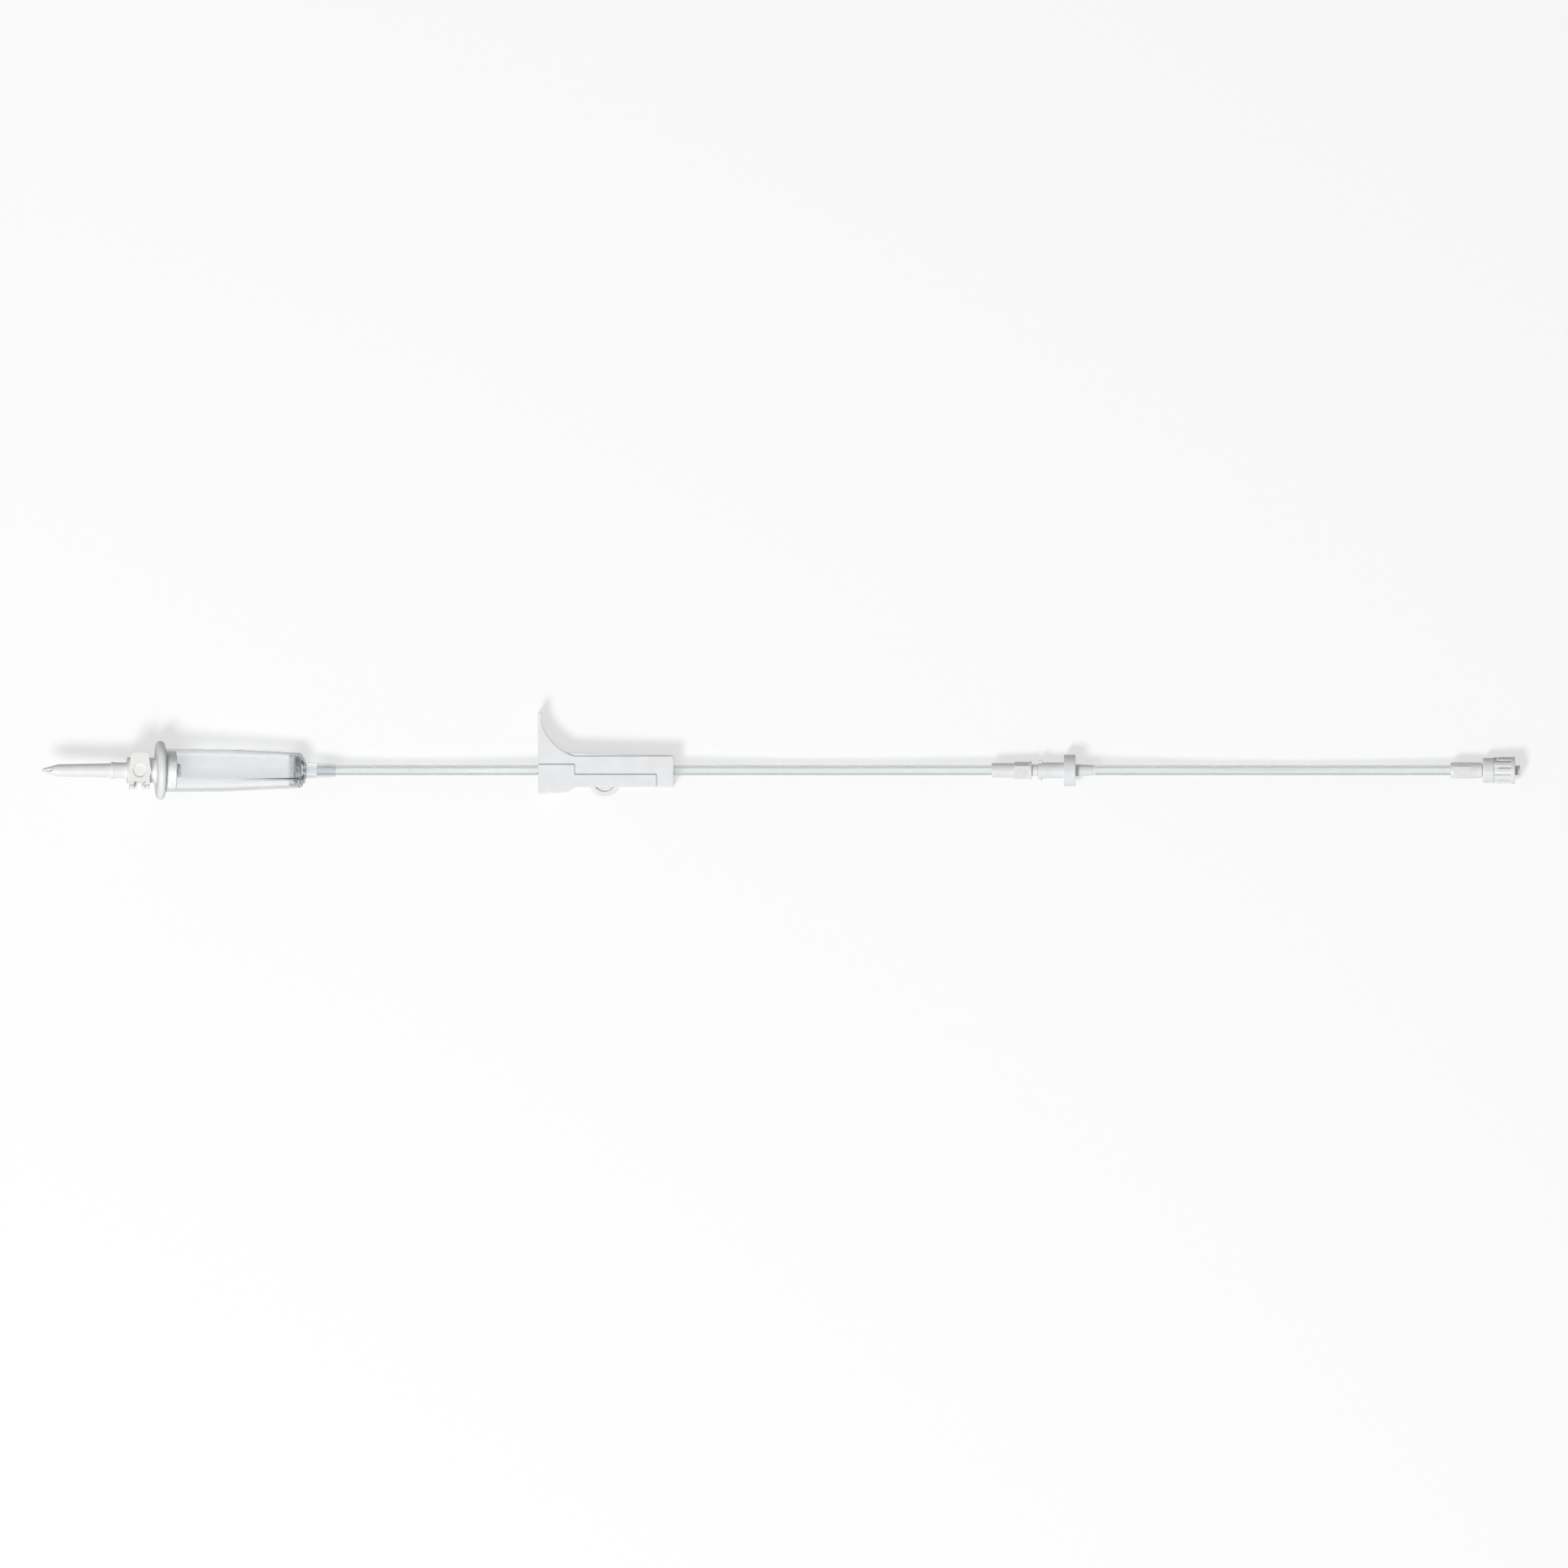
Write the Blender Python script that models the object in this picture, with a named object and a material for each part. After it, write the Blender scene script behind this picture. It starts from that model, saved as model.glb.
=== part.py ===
"""Gravity infusion set: vented spike, drip chamber, roller clamp, check valve and lock connector on soft tubing.

The set lies on a table as it comes to rest, stretched out along +X from the spike to the lock connector, with the
clamp's lip towards +Y. Metres, +Z up. The origin is under the middle of the set, on the table. The chamber rests on
its finger flange and on one of its ribs, so its axis slopes down towards the tubing.
"""

import math

import bmesh
import bpy
from mathutils import Euler, Vector

MM = 0.001

# Clearances
FACE_GAP = 0.3 * MM
GLUE_GAP = 0.15 * MM
TUBE_GAP = 0.25 * MM
RUNNING_GAP = 0.2 * MM
OVERLAP = 0.4 * MM

# Tubing and its sockets
TUBE_RADIUS = 2.05 * MM
TUBE_SOCKET_DEPTH = 8.0 * MM
LUMEN_RADIUS = 1.1 * MM
CHAMBER_TO_CLAMP = 87.4 * MM
CLAMP_TO_CONNECTOR = 137.1 * MM
VALVE_TO_END = 153.7 * MM

# Spike, from its tip
SPIKE_TIP_RADIUS = 0.95 * MM
SPIKE_POINT_ANGLE = math.radians(15.5)
SPIKE_SHOULDER_RADIUS = 2.5 * MM
SPIKE_RUN_ON_LENGTH = 1.4 * MM
SPIKE_RUN_ON_GROWTH = 0.12 * MM
SPIKE_ROOT_RADIUS = 3.05 * MM
SPIKE_LENGTH = 29.8 * MM
STOP_RING_RADIUS = 3.65 * MM
STOP_RING_LENGTH = 1.1 * MM
SPIKE_BASE_RADIUS = 3.45 * MM
SPIKE_BASE_LENGTH = 5.8 * MM
FLUID_BORE_RADIUS = 1.0 * MM
FLUID_BORE_OFFSET = -1.15 * MM
AIR_BORE_RADIUS = 0.6 * MM
AIR_BORE_OFFSET = 1.3 * MM
PORT_START = 1.5 * MM

# Vent housing and finger flange behind the spike
VENT_PLATE_RADIUS = 5.65 * MM
VENT_PLATE_LENGTH = 1.1 * MM
BARREL_RADIUS = 5.45 * MM
BARREL_LENGTH = 11.45 * MM
VENT_STATION = 41.6 * MM
VENT_BOSS_RADIUS = 4.6 * MM
VENT_BOSS_TOP = 6.4 * MM
VENT_RECESS_RADIUS = 3.15 * MM
VENT_RECESS_DEPTH = 1.4 * MM
VENT_BORE_RADIUS = 0.8 * MM
FLANGE_RADIUS = 12.7 * MM
FLANGE_LENGTH = 3.7 * MM
PLUG_LENGTH = 4.85 * MM

# Air filter and its hinged cap
AIR_FILTER_THICKNESS = 0.4 * MM
CAP_RADIUS = 4.95 * MM
CAP_THICKNESS = 1.5 * MM
CAP_TAB_REACH = 8.1 * MM
CAP_TAB_HALF_WIDTH = 4.0 * MM
CAP_TAB_CORNER = 1.7 * MM
CAP_TAB_NOTCH = 0.45 * MM
CAP_DIMPLE_RADIUS = 2.9 * MM
CAP_DIMPLE_DEPTH = 0.4 * MM
CAP_PLUG_DEPTH = 0.7 * MM
CAP_LEG_INSIDE = 2.5 * MM
CAP_LEG_WIDTH = 1.8 * MM
HINGE_Y = -7.05 * MM
HINGE_HEIGHT = 4.6 * MM
HINGE_EYE_RADIUS = 1.05 * MM
HINGE_PIN_RADIUS = 0.5 * MM
HINGE_PIN_CLEARANCE = 0.15 * MM
HINGE_EAR_WIDTH = 1.1 * MM
HINGE_PIN_REACH = 1.3 * MM

# Drop former
NOZZLE_RADIUS = 2.85 * MM
NOZZLE_LENGTH = 2.1 * MM
NOZZLE_CORNER = 0.6 * MM
NOZZLE_STEM_RADIUS = 1.8 * MM
NOZZLE_STEM_LENGTH = 4.6 * MM
NOZZLE_BORE_RADIUS = 0.9 * MM

# Drip chamber, its filter and its outlet
CHAMBER_WALL = 0.65 * MM
CHAMBER_MOUTH_RADIUS = 9.25 * MM
CHAMBER_WAIST_RADIUS = 8.95 * MM
CHAMBER_FOOT_RADIUS = 7.6 * MM
CHAMBER_WAIST_FROM_MOUTH = 26.8 * MM
CHAMBER_LENGTH = 57.35 * MM
RIB_COUNT = 3
RIB_RADIUS = 8.85 * MM
RIB_WIDTH = 1.2 * MM
OUTLET_RIM_LENGTH = 3.6 * MM
OUTLET_RIM_WALL = 0.5 * MM
FILTER_THICKNESS = 2.0 * MM
FILTER_RIM_WIDTH = 0.8 * MM
FILTER_WEB = 0.6 * MM
DOME_LENGTH = 1.9 * MM
DOME_END_RADIUS = 5.75 * MM
OUTLET_STEP_LENGTH = 0.8 * MM
OUTLET_STEP_RADIUS = 5.55 * MM
OUTLET_CONE_RADIUS = 3.4 * MM
OUTLET_END_RADIUS = 2.72 * MM
OUTLET_CONE_LENGTH = 12.8 * MM
OUTLET_BORE_RADIUS = 1.4 * MM

# Roller clamp: x from its mouth, y from the tubing's axis, z from its middle plane
CLAMP_LENGTH = 58.6 * MM
CLAMP_HALF_WIDTH = 5.9 * MM
CLAMP_PANEL_HALF_WIDTH = 6.8 * MM
CLAMP_INSIDE_HALF_WIDTH = 4.6 * MM
CLAMP_WALL = 1.5 * MM
CLAMP_LIP_TOP = 24.9 * MM
CLAMP_LIP_FOOT = 19.9 * MM
CLAMP_LIP_THICKNESS = 1.6 * MM
CLAMP_CURVE_RADIUS = 21.5 * MM
CLAMP_SIDE_TOP = 6.2 * MM
CLAMP_CURVE_END = 15.5 * MM
CLAMP_RIDGE_HALF_WIDTH = 5.2 * MM
CLAMP_RIDGE_START = 12.2 * MM
CLAMP_RIDGE_SLOPE = math.radians(1.45)
CLAMP_MOUTH_BOTTOM = -10.2 * MM
CLAMP_MOUTH_KNEE = (12.8 * MM, -9.4 * MM)
CLAMP_BOTTOM = -7.2 * MM
CLAMP_BOTTOM_START = 16.4 * MM
CLAMP_CORNER = 0.9 * MM
CLAMP_FLOOR_LENGTH = 10.5 * MM
PANEL_MOUTH_TOP = 2.6 * MM
PANEL_MOUTH_LENGTH = 15.8 * MM
PANEL_TOP = -1.75 * MM
PANEL_END = 51.1 * MM
PANEL_CORNER = 0.75 * MM
WEDGE_TOP = 6.6 * MM
WEDGE_START = 18.3 * MM
WEDGE_SLOPE = math.radians(3.2)
TUBE_HOLE_RADIUS = 2.45 * MM

# Roller
WHEEL_RADIUS = 7.0 * MM
WHEEL_HALF_WIDTH = 4.3 * MM
WHEEL_TREAD_HALF_WIDTH = 3.5 * MM
WHEEL_GROOVE_DEPTH = 0.45 * MM
WHEEL_RIBS = 18
WHEEL_DISH_RADIUS = 5.35 * MM
WHEEL_DISH_DEPTH = 0.9 * MM
WHEEL_REST_X = 28.7 * MM
WHEEL_REST_Y = -4.2 * MM
WHEEL_TRAVEL_BACK = 10.4 * MM
WHEEL_TRAVEL_ON = 20.0 * MM
WHEEL_PATH_SLOPE = math.radians(3.0)
TRUNNION_RADIUS = 1.1 * MM
TRUNNION_REACH = 1.5 * MM

# Push-fit connector between the tubing and the check valve
SLEEVE_RADIUS = 3.1 * MM
SLEEVE_LENGTH = 9.6 * MM
HEX_CORNER_RADIUS = 3.7 * MM
HEX_LENGTH = 6.5 * MM
HEX_CHAMFER_LENGTH = 0.5 * MM
CONNECTOR_RING_RADIUS = 3.85 * MM
CONNECTOR_RING_LENGTH = 1.1 * MM
CONNECTOR_NECK_RADIUS = 2.55 * MM
CONNECTOR_NECK_LENGTH = 2.5 * MM
CONE_TAPER = 0.03
CONE_TIP_RADIUS = 2.08 * MM
PUSH_CONE_LENGTH = 7.5 * MM

# Check valve, from the face of its hub
HUB_RADIUS = 3.38 * MM
HUB_LENGTH = 11.1 * MM
HUB_LUG_RADIUS = 4.3 * MM
HUB_LUG_LENGTH = 1.8 * MM
HUB_LUG_HALF_WIDTH = 1.6 * MM
VALVE_RADIUS = 6.8 * MM
VALVE_LENGTH = 5.0 * MM
VALVE_FACE = 1.6 * MM
VALVE_RIM = 0.9 * MM
VALVE_SEAT_RADIUS = 2.0 * MM
VALVE_SEAT_HEIGHT = 0.4 * MM
VALVE_BORE_RADIUS = 1.2 * MM
MEMBRANE_RADIUS = 4.2 * MM
MEMBRANE_THICKNESS = 0.8 * MM
VALVE_SLOT_WIDTH = 1.2 * MM
VALVE_SLOT_DEPTH = 0.6 * MM
VALVE_CONE_RADIUS = 2.65 * MM
VALVE_CONE_END_RADIUS = 2.2 * MM
VALVE_CONE_LENGTH = 8.0 * MM

# End connector and its lock collar
GRIP_LEAD = 1.7 * MM
GRIP_CORNER_RADIUS = 3.75 * MM
GRIP_LENGTH = 6.0 * MM
GRIP_RUN_OUT = 1.1 * MM
END_BARREL_RADIUS = 3.35 * MM
END_BODY_LENGTH = 13.85 * MM
END_NECK_RADIUS = 2.6 * MM
END_STOP_RADIUS = 3.3 * MM
END_STOP_LENGTH = 1.0 * MM
TIP_PAST_COLLAR = 2.2 * MM
COLLAR_LENGTH = 14.0 * MM
COLLAR_RADIUS = 5.37 * MM
COLLAR_CORNER = 0.7 * MM
COLLAR_BACK_WALL = 1.5 * MM
COLLAR_BORE_RADIUS = 4.0 * MM
COLLAR_RIBS = 12
COLLAR_RIB_RADIUS = 5.65 * MM
COLLAR_GROOVE_RADIUS = 5.1 * MM
COLLAR_LONG_RIB_START = 4.7 * MM
COLLAR_SHORT_RIB_START = 6.1 * MM
COLLAR_RING_RADIUS = 5.85 * MM
COLLAR_RING_LENGTH = 1.8 * MM

# Facets
FINE = 40
MEDIUM = 32
SMALL = 24
TINY = 16
CORNER_STEPS = 4

# Stations along the chamber's axis, measured from the spike's tip
STOP_RING_AT = SPIKE_LENGTH
SPIKE_BASE_AT = STOP_RING_AT + STOP_RING_LENGTH
VENT_PLATE_AT = SPIKE_BASE_AT + SPIKE_BASE_LENGTH
BARREL_AT = VENT_PLATE_AT + VENT_PLATE_LENGTH
FLANGE_AT = BARREL_AT + BARREL_LENGTH
PLUG_AT = FLANGE_AT + FLANGE_LENGTH
PLUG_END = PLUG_AT + PLUG_LENGTH
CHAMBER_AT = PLUG_AT + FACE_GAP
CHAMBER_END = CHAMBER_AT + CHAMBER_LENGTH
DOME_AT = CHAMBER_END + FACE_GAP
DOME_END = DOME_AT + DOME_LENGTH
STEP_END = DOME_END + OUTLET_STEP_LENGTH
CONE_AT = STEP_END + OVERLAP
OUTLET_END = CONE_AT + OUTLET_CONE_LENGTH

# The way that the chamber lies: on its flange's round rim and on the edge of its lowest rib
RIM_RADIUS = FLANGE_LENGTH / 2
LOWEST_RIB_TURN = math.pi - 2 * math.pi / RIB_COUNT - math.pi / 6
RIB_EDGE_DROP = RIB_RADIUS * math.cos(math.pi / 6) + RIB_WIDTH / 2 * math.sin(math.pi / 6)
FLANGE_TO_RIB_END = CHAMBER_END - (FLANGE_AT + RIM_RADIUS)
FLANGE_OVER_RIB = FLANGE_RADIUS - RIM_RADIUS - RIB_EDGE_DROP
CHAMBER_TILT = math.atan2(FLANGE_OVER_RIB, FLANGE_TO_RIB_END) + math.asin(
    RIM_RADIUS / math.hypot(FLANGE_OVER_RIB, FLANGE_TO_RIB_END)
)
SPIKE_TIP_HEIGHT = (
    (FLANGE_AT + RIM_RADIUS) * math.sin(CHAMBER_TILT)
    + (FLANGE_RADIUS - RIM_RADIUS) * math.cos(CHAMBER_TILT)
    + RIM_RADIUS
)
OUTLET_HEIGHT = SPIKE_TIP_HEIGHT - OUTLET_END * math.sin(CHAMBER_TILT)

# Places along +X
CONNECTOR_LENGTH = (
    SLEEVE_LENGTH + HEX_LENGTH + CONNECTOR_RING_LENGTH + CONNECTOR_NECK_LENGTH
)
VALVE_BODY_LENGTH = HUB_LENGTH + VALVE_LENGTH + VALVE_CONE_LENGTH
TOTAL_LENGTH = (
    OUTLET_END * math.cos(CHAMBER_TILT)
    + CHAMBER_TO_CLAMP
    + CLAMP_LENGTH
    + CLAMP_TO_CONNECTOR
    + CONNECTOR_LENGTH
    + FACE_GAP
    + VALVE_BODY_LENGTH
    + VALVE_TO_END
    + END_BODY_LENGTH
    + COLLAR_LENGTH
    + TIP_PAST_COLLAR
)
SPIKE_TIP_X = -TOTAL_LENGTH / 2
OUTLET_X = SPIKE_TIP_X + OUTLET_END * math.cos(CHAMBER_TILT)
CLAMP_X = OUTLET_X + CHAMBER_TO_CLAMP
CONNECTOR_X = CLAMP_X + CLAMP_LENGTH + CLAMP_TO_CONNECTOR
VALVE_X = CONNECTOR_X + CONNECTOR_LENGTH + FACE_GAP
PATIENT_TUBE_X = VALVE_X + VALVE_BODY_LENGTH
END_X = PATIENT_TUBE_X + VALVE_TO_END
COLLAR_X = END_X + END_BODY_LENGTH
END_TIP_X = COLLAR_X + COLLAR_LENGTH + TIP_PAST_COLLAR

AXIS_Y = (FLANGE_RADIUS - CLAMP_LIP_TOP) / 2
CLAMP_HEIGHT = CLAMP_PANEL_HALF_WIDTH
VALVE_HEIGHT = VALVE_RADIUS
COLLAR_SEGMENTS = 4 * COLLAR_RIBS
END_HEIGHT = COLLAR_RING_RADIUS * math.cos(math.pi / COLLAR_SEGMENTS)


# Finishes


def finish(name, colour, roughness, alpha=1.0):
    """Material with a Principled BSDF of one plastic."""
    material = bpy.data.materials.new(name)
    material.use_nodes = True
    shader = material.node_tree.nodes["Principled BSDF"]
    shader.inputs["Base Color"].default_value = (*colour, 1.0)
    shader.inputs["Roughness"].default_value = roughness
    shader.inputs["Metallic"].default_value = 0.0
    shader.inputs["Alpha"].default_value = alpha
    material.diffuse_color = (*colour, alpha)
    return material


# Building blocks


def add_object(name, mesh, material, parent):
    """New object of a finished bmesh, with its faces turned outwards."""
    bmesh.ops.recalc_face_normals(mesh, faces=mesh.faces)
    data = bpy.data.meshes.new(name)
    mesh.to_mesh(data)
    mesh.free()
    data.materials.append(material)
    data.shade_smooth()
    data.set_sharp_from_angle(angle=math.radians(35))
    made = bpy.data.objects.new(name, data)
    bpy.context.scene.collection.objects.link(made)
    made.parent = parent
    return made


def add_frame(name, location, rotation=(0.0, 0.0, 0.0), parent=None):
    """Empty that carries the pieces of one assembly."""
    frame = bpy.data.objects.new(name, None)
    bpy.context.scene.collection.objects.link(frame)
    frame.location = location
    frame.rotation_euler = Euler(rotation)
    frame.parent = parent
    return frame


def as_tool(tool):
    """Marks an object as a helper of a Boolean."""
    tool.hide_render = True
    tool.display_type = "WIRE"
    return tool


def cut(target, tool):
    """Takes the tool's solid away from the target."""
    step = target.modifiers.new("cut_" + tool.name, "BOOLEAN")
    step.operation = "DIFFERENCE"
    step.object = as_tool(tool)


def join(target, tool):
    """Adds the tool's solid to the target."""
    step = target.modifiers.new("join_" + tool.name, "BOOLEAN")
    step.operation = "UNION"
    step.object = as_tool(tool)


def soften(target, width, angle=math.radians(50)):
    """Small moulded radius on the sharp edges."""
    step = target.modifiers.new("soft_edges", "BEVEL")
    step.width = width
    step.segments = 2
    step.limit_method = "ANGLE"
    step.angle_limit = angle


def skin(mesh, ring, following):
    """Faces between two rings of points, either of which may be a single point."""
    count = max(len(ring), len(following))
    for k in range(count):
        after = (k + 1) % count
        if len(ring) == 1:
            mesh.faces.new((ring[0], following[k], following[after]))
        elif len(following) == 1:
            mesh.faces.new((ring[k], ring[after], following[0]))
        else:
            mesh.faces.new((ring[k], ring[after], following[after], following[k]))


def turned(profile, segments, phase=0.0):
    """Solid of revolution about local +X.

    Each station of the profile is (x, radius) or (x, radius, shape), where shape gives the radius at an angle, which
    runs from +Z towards +Y. A profile starts and ends on the axis, or else it closes on itself round a bore.
    """
    mesh = bmesh.new()
    rings = []
    for x, radius, *shape in profile:
        if radius == 0.0:
            rings.append([mesh.verts.new((x, 0.0, 0.0))])
            continue
        ring = []
        for k in range(segments):
            angle = phase + 2 * math.pi * k / segments
            reach = shape[0](radius, angle) if shape else radius
            ring.append(mesh.verts.new((x, reach * math.sin(angle), reach * math.cos(angle))))
        rings.append(ring)
    if len(rings[0]) > 1:
        rings.append(rings[0])
    for ring, following in zip(rings, rings[1:]):
        skin(mesh, ring, following)
    return mesh


def turned_about_z(profile, segments):
    """Solid of revolution about local +Z, from stations of (z, radius)."""
    mesh = turned(profile, segments)
    for vertex in mesh.verts:
        vertex.co = Vector((vertex.co.z, vertex.co.y, vertex.co.x))
    return mesh


def rod(start, end, radius, segments=SMALL):
    """Plain round bar between two points on a line parallel to an axis."""
    start, end = Vector(start), Vector(end)
    mesh = turned([(0.0, 0.0), (0.0, radius), ((end - start).length, radius), ((end - start).length, 0.0)], segments)
    turn = Vector((1.0, 0.0, 0.0)).rotation_difference(end - start)
    for vertex in mesh.verts:
        vertex.co = start + turn @ vertex.co
    return mesh


def slab(outline, low, high, place):
    """Outline of (u, v) points extruded from low to high, set in space by place(u, v, w)."""
    mesh = bmesh.new()
    bottom = [mesh.verts.new(place(u, v, low)) for u, v in outline]
    top = [mesh.verts.new(place(u, v, high)) for u, v in outline]
    mesh.faces.new(bottom)
    mesh.faces.new(top)
    skin(mesh, bottom, top)
    return mesh


def flat_place(u, v, w):
    """Outline in the XY plane, extruded along Z."""
    return (u, v, w)


def side_place(u, v, w):
    """Outline in the YZ plane, extruded along X."""
    return (w, u, v)


def arc(centre, radius, start, end, steps):
    """Points of an arc, with both its ends. Angles in radians."""
    return [
        (
            centre[0] + radius * math.cos(start + (end - start) * k / steps),
            centre[1] + radius * math.sin(start + (end - start) * k / steps),
        )
        for k in range(steps + 1)
    ]


def rounded(corner, before, after, radius, steps=CORNER_STEPS):
    """Points that round an outline's corner between the directions of its two neighbours."""
    here = Vector(corner)
    back = (Vector(before) - here).normalized()
    on = (Vector(after) - here).normalized()
    half = back.angle(on) / 2
    centre = here + (back + on).normalized() * (radius / math.sin(half))
    first = here + back * (radius / math.tan(half)) - centre
    last = here + on * (radius / math.tan(half)) - centre
    turn = first.angle_signed(last)
    start = math.atan2(first.y, first.x)
    return arc(centre, radius, start, start - turn, steps)


def capsule(start, end, radius, steps=8):
    """Outline of a bar with round ends between two points."""
    heading = math.atan2(end[1] - start[1], end[0] - start[0])
    return arc(end, radius, heading - math.pi / 2, heading + math.pi / 2, steps) + arc(
        start, radius, heading + math.pi / 2, heading + 3 * math.pi / 2, steps
    )


def box_between(low, high):
    """Box from its lowest to its highest corner."""
    outline = [(low[0], low[1]), (high[0], low[1]), (high[0], high[1]), (low[0], high[1])]
    return slab(outline, low[2], high[2], flat_place)


def many_sided(sides):
    """Ring shape of a regular prism with a flat towards +Z. The ring's radius is its corners'."""

    def reach(radius, angle):
        step = 2 * math.pi / sides
        off = (angle + step / 2) % step - step / 2
        return radius * math.cos(step / 2) / math.cos(off)

    return reach


def ribbed(count, groove, every=1):
    """Ring shape with ribs at the ring's radius over a groove's, on the last rib of every so many."""

    def reach(radius, angle):
        step = 2 * math.pi / count
        rib = round(angle / step)
        off = abs(angle - rib * step)
        raised = off < step / 4 and rib % every == every - 1
        return radius if raised else groove

    return reach


# Spike, vent housing, finger flange and lid: one moulding


def spike_point():
    """Stations of the round tip and the straight flare behind it."""
    last = math.pi / 2 - SPIKE_POINT_ANGLE
    stations = [(0.0, 0.0)]
    for k in range(1, CORNER_STEPS + 1):
        turn = last * k / CORNER_STEPS
        stations.append(
            (SPIKE_TIP_RADIUS * (1 - math.cos(turn)), SPIKE_TIP_RADIUS * math.sin(turn))
        )
    x, radius = stations[-1]
    flare = (SPIKE_SHOULDER_RADIUS - radius) / math.tan(SPIKE_POINT_ANGLE)
    stations.append((x + flare, SPIKE_SHOULDER_RADIUS))
    stations.append((x + flare + SPIKE_RUN_ON_LENGTH, SPIKE_SHOULDER_RADIUS + SPIKE_RUN_ON_GROWTH))
    return stations


def plug_radius():
    """The lid's plug, glued into the chamber's mouth."""
    return CHAMBER_MOUTH_RADIUS - CHAMBER_WALL - GLUE_GAP


def flange_stations():
    """Finger flange with a fully round rim."""
    rim = arc(
        (FLANGE_AT + RIM_RADIUS, FLANGE_RADIUS - RIM_RADIUS), RIM_RADIUS, math.pi, 0.0, 2 * CORNER_STEPS
    )
    return [(FLANGE_AT, BARREL_RADIUS)] + rim + [(PLUG_AT, plug_radius())]


def shade_evenly(target):
    """Lets the large flat faces set the shading of a piece with small moulded radii."""
    step = target.modifiers.new("even_shading", "WEIGHTED_NORMAL")
    step.keep_sharp = True


def make_spike_body(parent, material):
    """Spike with its two channels, vent housing with hinge ears, finger flange and lid plug."""
    profile = spike_point()
    profile += [
        (SPIKE_LENGTH, SPIKE_ROOT_RADIUS),
        (SPIKE_LENGTH, STOP_RING_RADIUS),
        (SPIKE_BASE_AT, STOP_RING_RADIUS),
        (SPIKE_BASE_AT, SPIKE_BASE_RADIUS),
        (VENT_PLATE_AT, SPIKE_BASE_RADIUS),
        (VENT_PLATE_AT, VENT_PLATE_RADIUS),
        (BARREL_AT, VENT_PLATE_RADIUS),
        (BARREL_AT, BARREL_RADIUS),
    ]
    profile += flange_stations()
    profile += [
        (PLUG_END - NOZZLE_CORNER, plug_radius()),
        (PLUG_END, plug_radius() - NOZZLE_CORNER),
        (PLUG_END, 0.0),
    ]
    body = add_object("spike_body", turned(profile, FINE), material, parent)

    boss_bottom = HINGE_HEIGHT / 2
    boss = turned_about_z(
        [(boss_bottom, 0.0), (boss_bottom, VENT_BOSS_RADIUS), (VENT_BOSS_TOP, VENT_BOSS_RADIUS), (VENT_BOSS_TOP, 0.0)],
        MEDIUM,
    )
    move_mesh(boss, (VENT_STATION, 0.0, 0.0))
    join(body, add_object("vent_boss", boss, material, parent))

    for side in (-1, 1):
        inner = VENT_STATION + side * (CAP_LEG_INSIDE - FACE_GAP - HINGE_EAR_WIDTH)
        outer = VENT_STATION + side * (CAP_LEG_INSIDE - FACE_GAP)
        root = (0.75 * BARREL_RADIUS * -1, 0.5 * BARREL_RADIUS)
        outline = capsule(root, (HINGE_Y, HINGE_HEIGHT), HINGE_EYE_RADIUS)
        ear = slab(outline, min(inner, outer), max(inner, outer), side_place)
        join(body, add_object(f"hinge_ear_{side}", ear, material, parent))
        reach = VENT_STATION + side * (CAP_LEG_INSIDE + HINGE_PIN_REACH)
        middle = (inner + outer) / 2
        pin = rod((middle, HINGE_Y, HINGE_HEIGHT), (reach, HINGE_Y, HINGE_HEIGHT), HINGE_PIN_RADIUS, TINY)
        join(body, add_object(f"hinge_pin_{side}", pin, material, parent))

    bores = {
        "fluid_bore": rod(
            (PORT_START, 0.0, FLUID_BORE_OFFSET),
            (PLUG_END - NOZZLE_STEM_LENGTH, 0.0, FLUID_BORE_OFFSET),
            FLUID_BORE_RADIUS,
            TINY,
        ),
        "stem_bore": rod(
            (PLUG_END - NOZZLE_STEM_LENGTH - FACE_GAP, 0.0, 0.0),
            (PLUG_END + OVERLAP, 0.0, 0.0),
            NOZZLE_STEM_RADIUS + GLUE_GAP,
        ),
        "air_bore": rod(
            (PORT_START, 0.0, AIR_BORE_OFFSET),
            (VENT_STATION + VENT_BORE_RADIUS / 2, 0.0, AIR_BORE_OFFSET),
            AIR_BORE_RADIUS,
            TINY,
        ),
        "vent_bore": rod(
            (VENT_STATION, 0.0, AIR_BORE_OFFSET),
            (VENT_STATION, 0.0, VENT_BOSS_TOP + OVERLAP),
            VENT_BORE_RADIUS,
            TINY,
        ),
        "vent_recess": rod(
            (VENT_STATION, 0.0, VENT_BOSS_TOP - VENT_RECESS_DEPTH),
            (VENT_STATION, 0.0, VENT_BOSS_TOP + OVERLAP),
            VENT_RECESS_RADIUS,
        ),
    }
    for name, mesh in bores.items():
        cut(body, add_object(name, mesh, material, parent))
    return body


def move_mesh(mesh, offset):
    """Shifts every point of a bmesh."""
    bmesh.ops.translate(mesh, vec=Vector(offset), verts=mesh.verts)


def make_vent_filter(parent, material):
    """Air filter disc on the floor of the vent's recess."""
    low = VENT_BOSS_TOP - VENT_RECESS_DEPTH + FACE_GAP
    radius = VENT_RECESS_RADIUS - GLUE_GAP
    mesh = turned_about_z(
        [(low, 0.0), (low, radius), (low + AIR_FILTER_THICKNESS, radius), (low + AIR_FILTER_THICKNESS, 0.0)], SMALL
    )
    move_mesh(mesh, (VENT_STATION, 0.0, 0.0))
    return add_object("vent_filter", mesh, material, parent)


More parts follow.
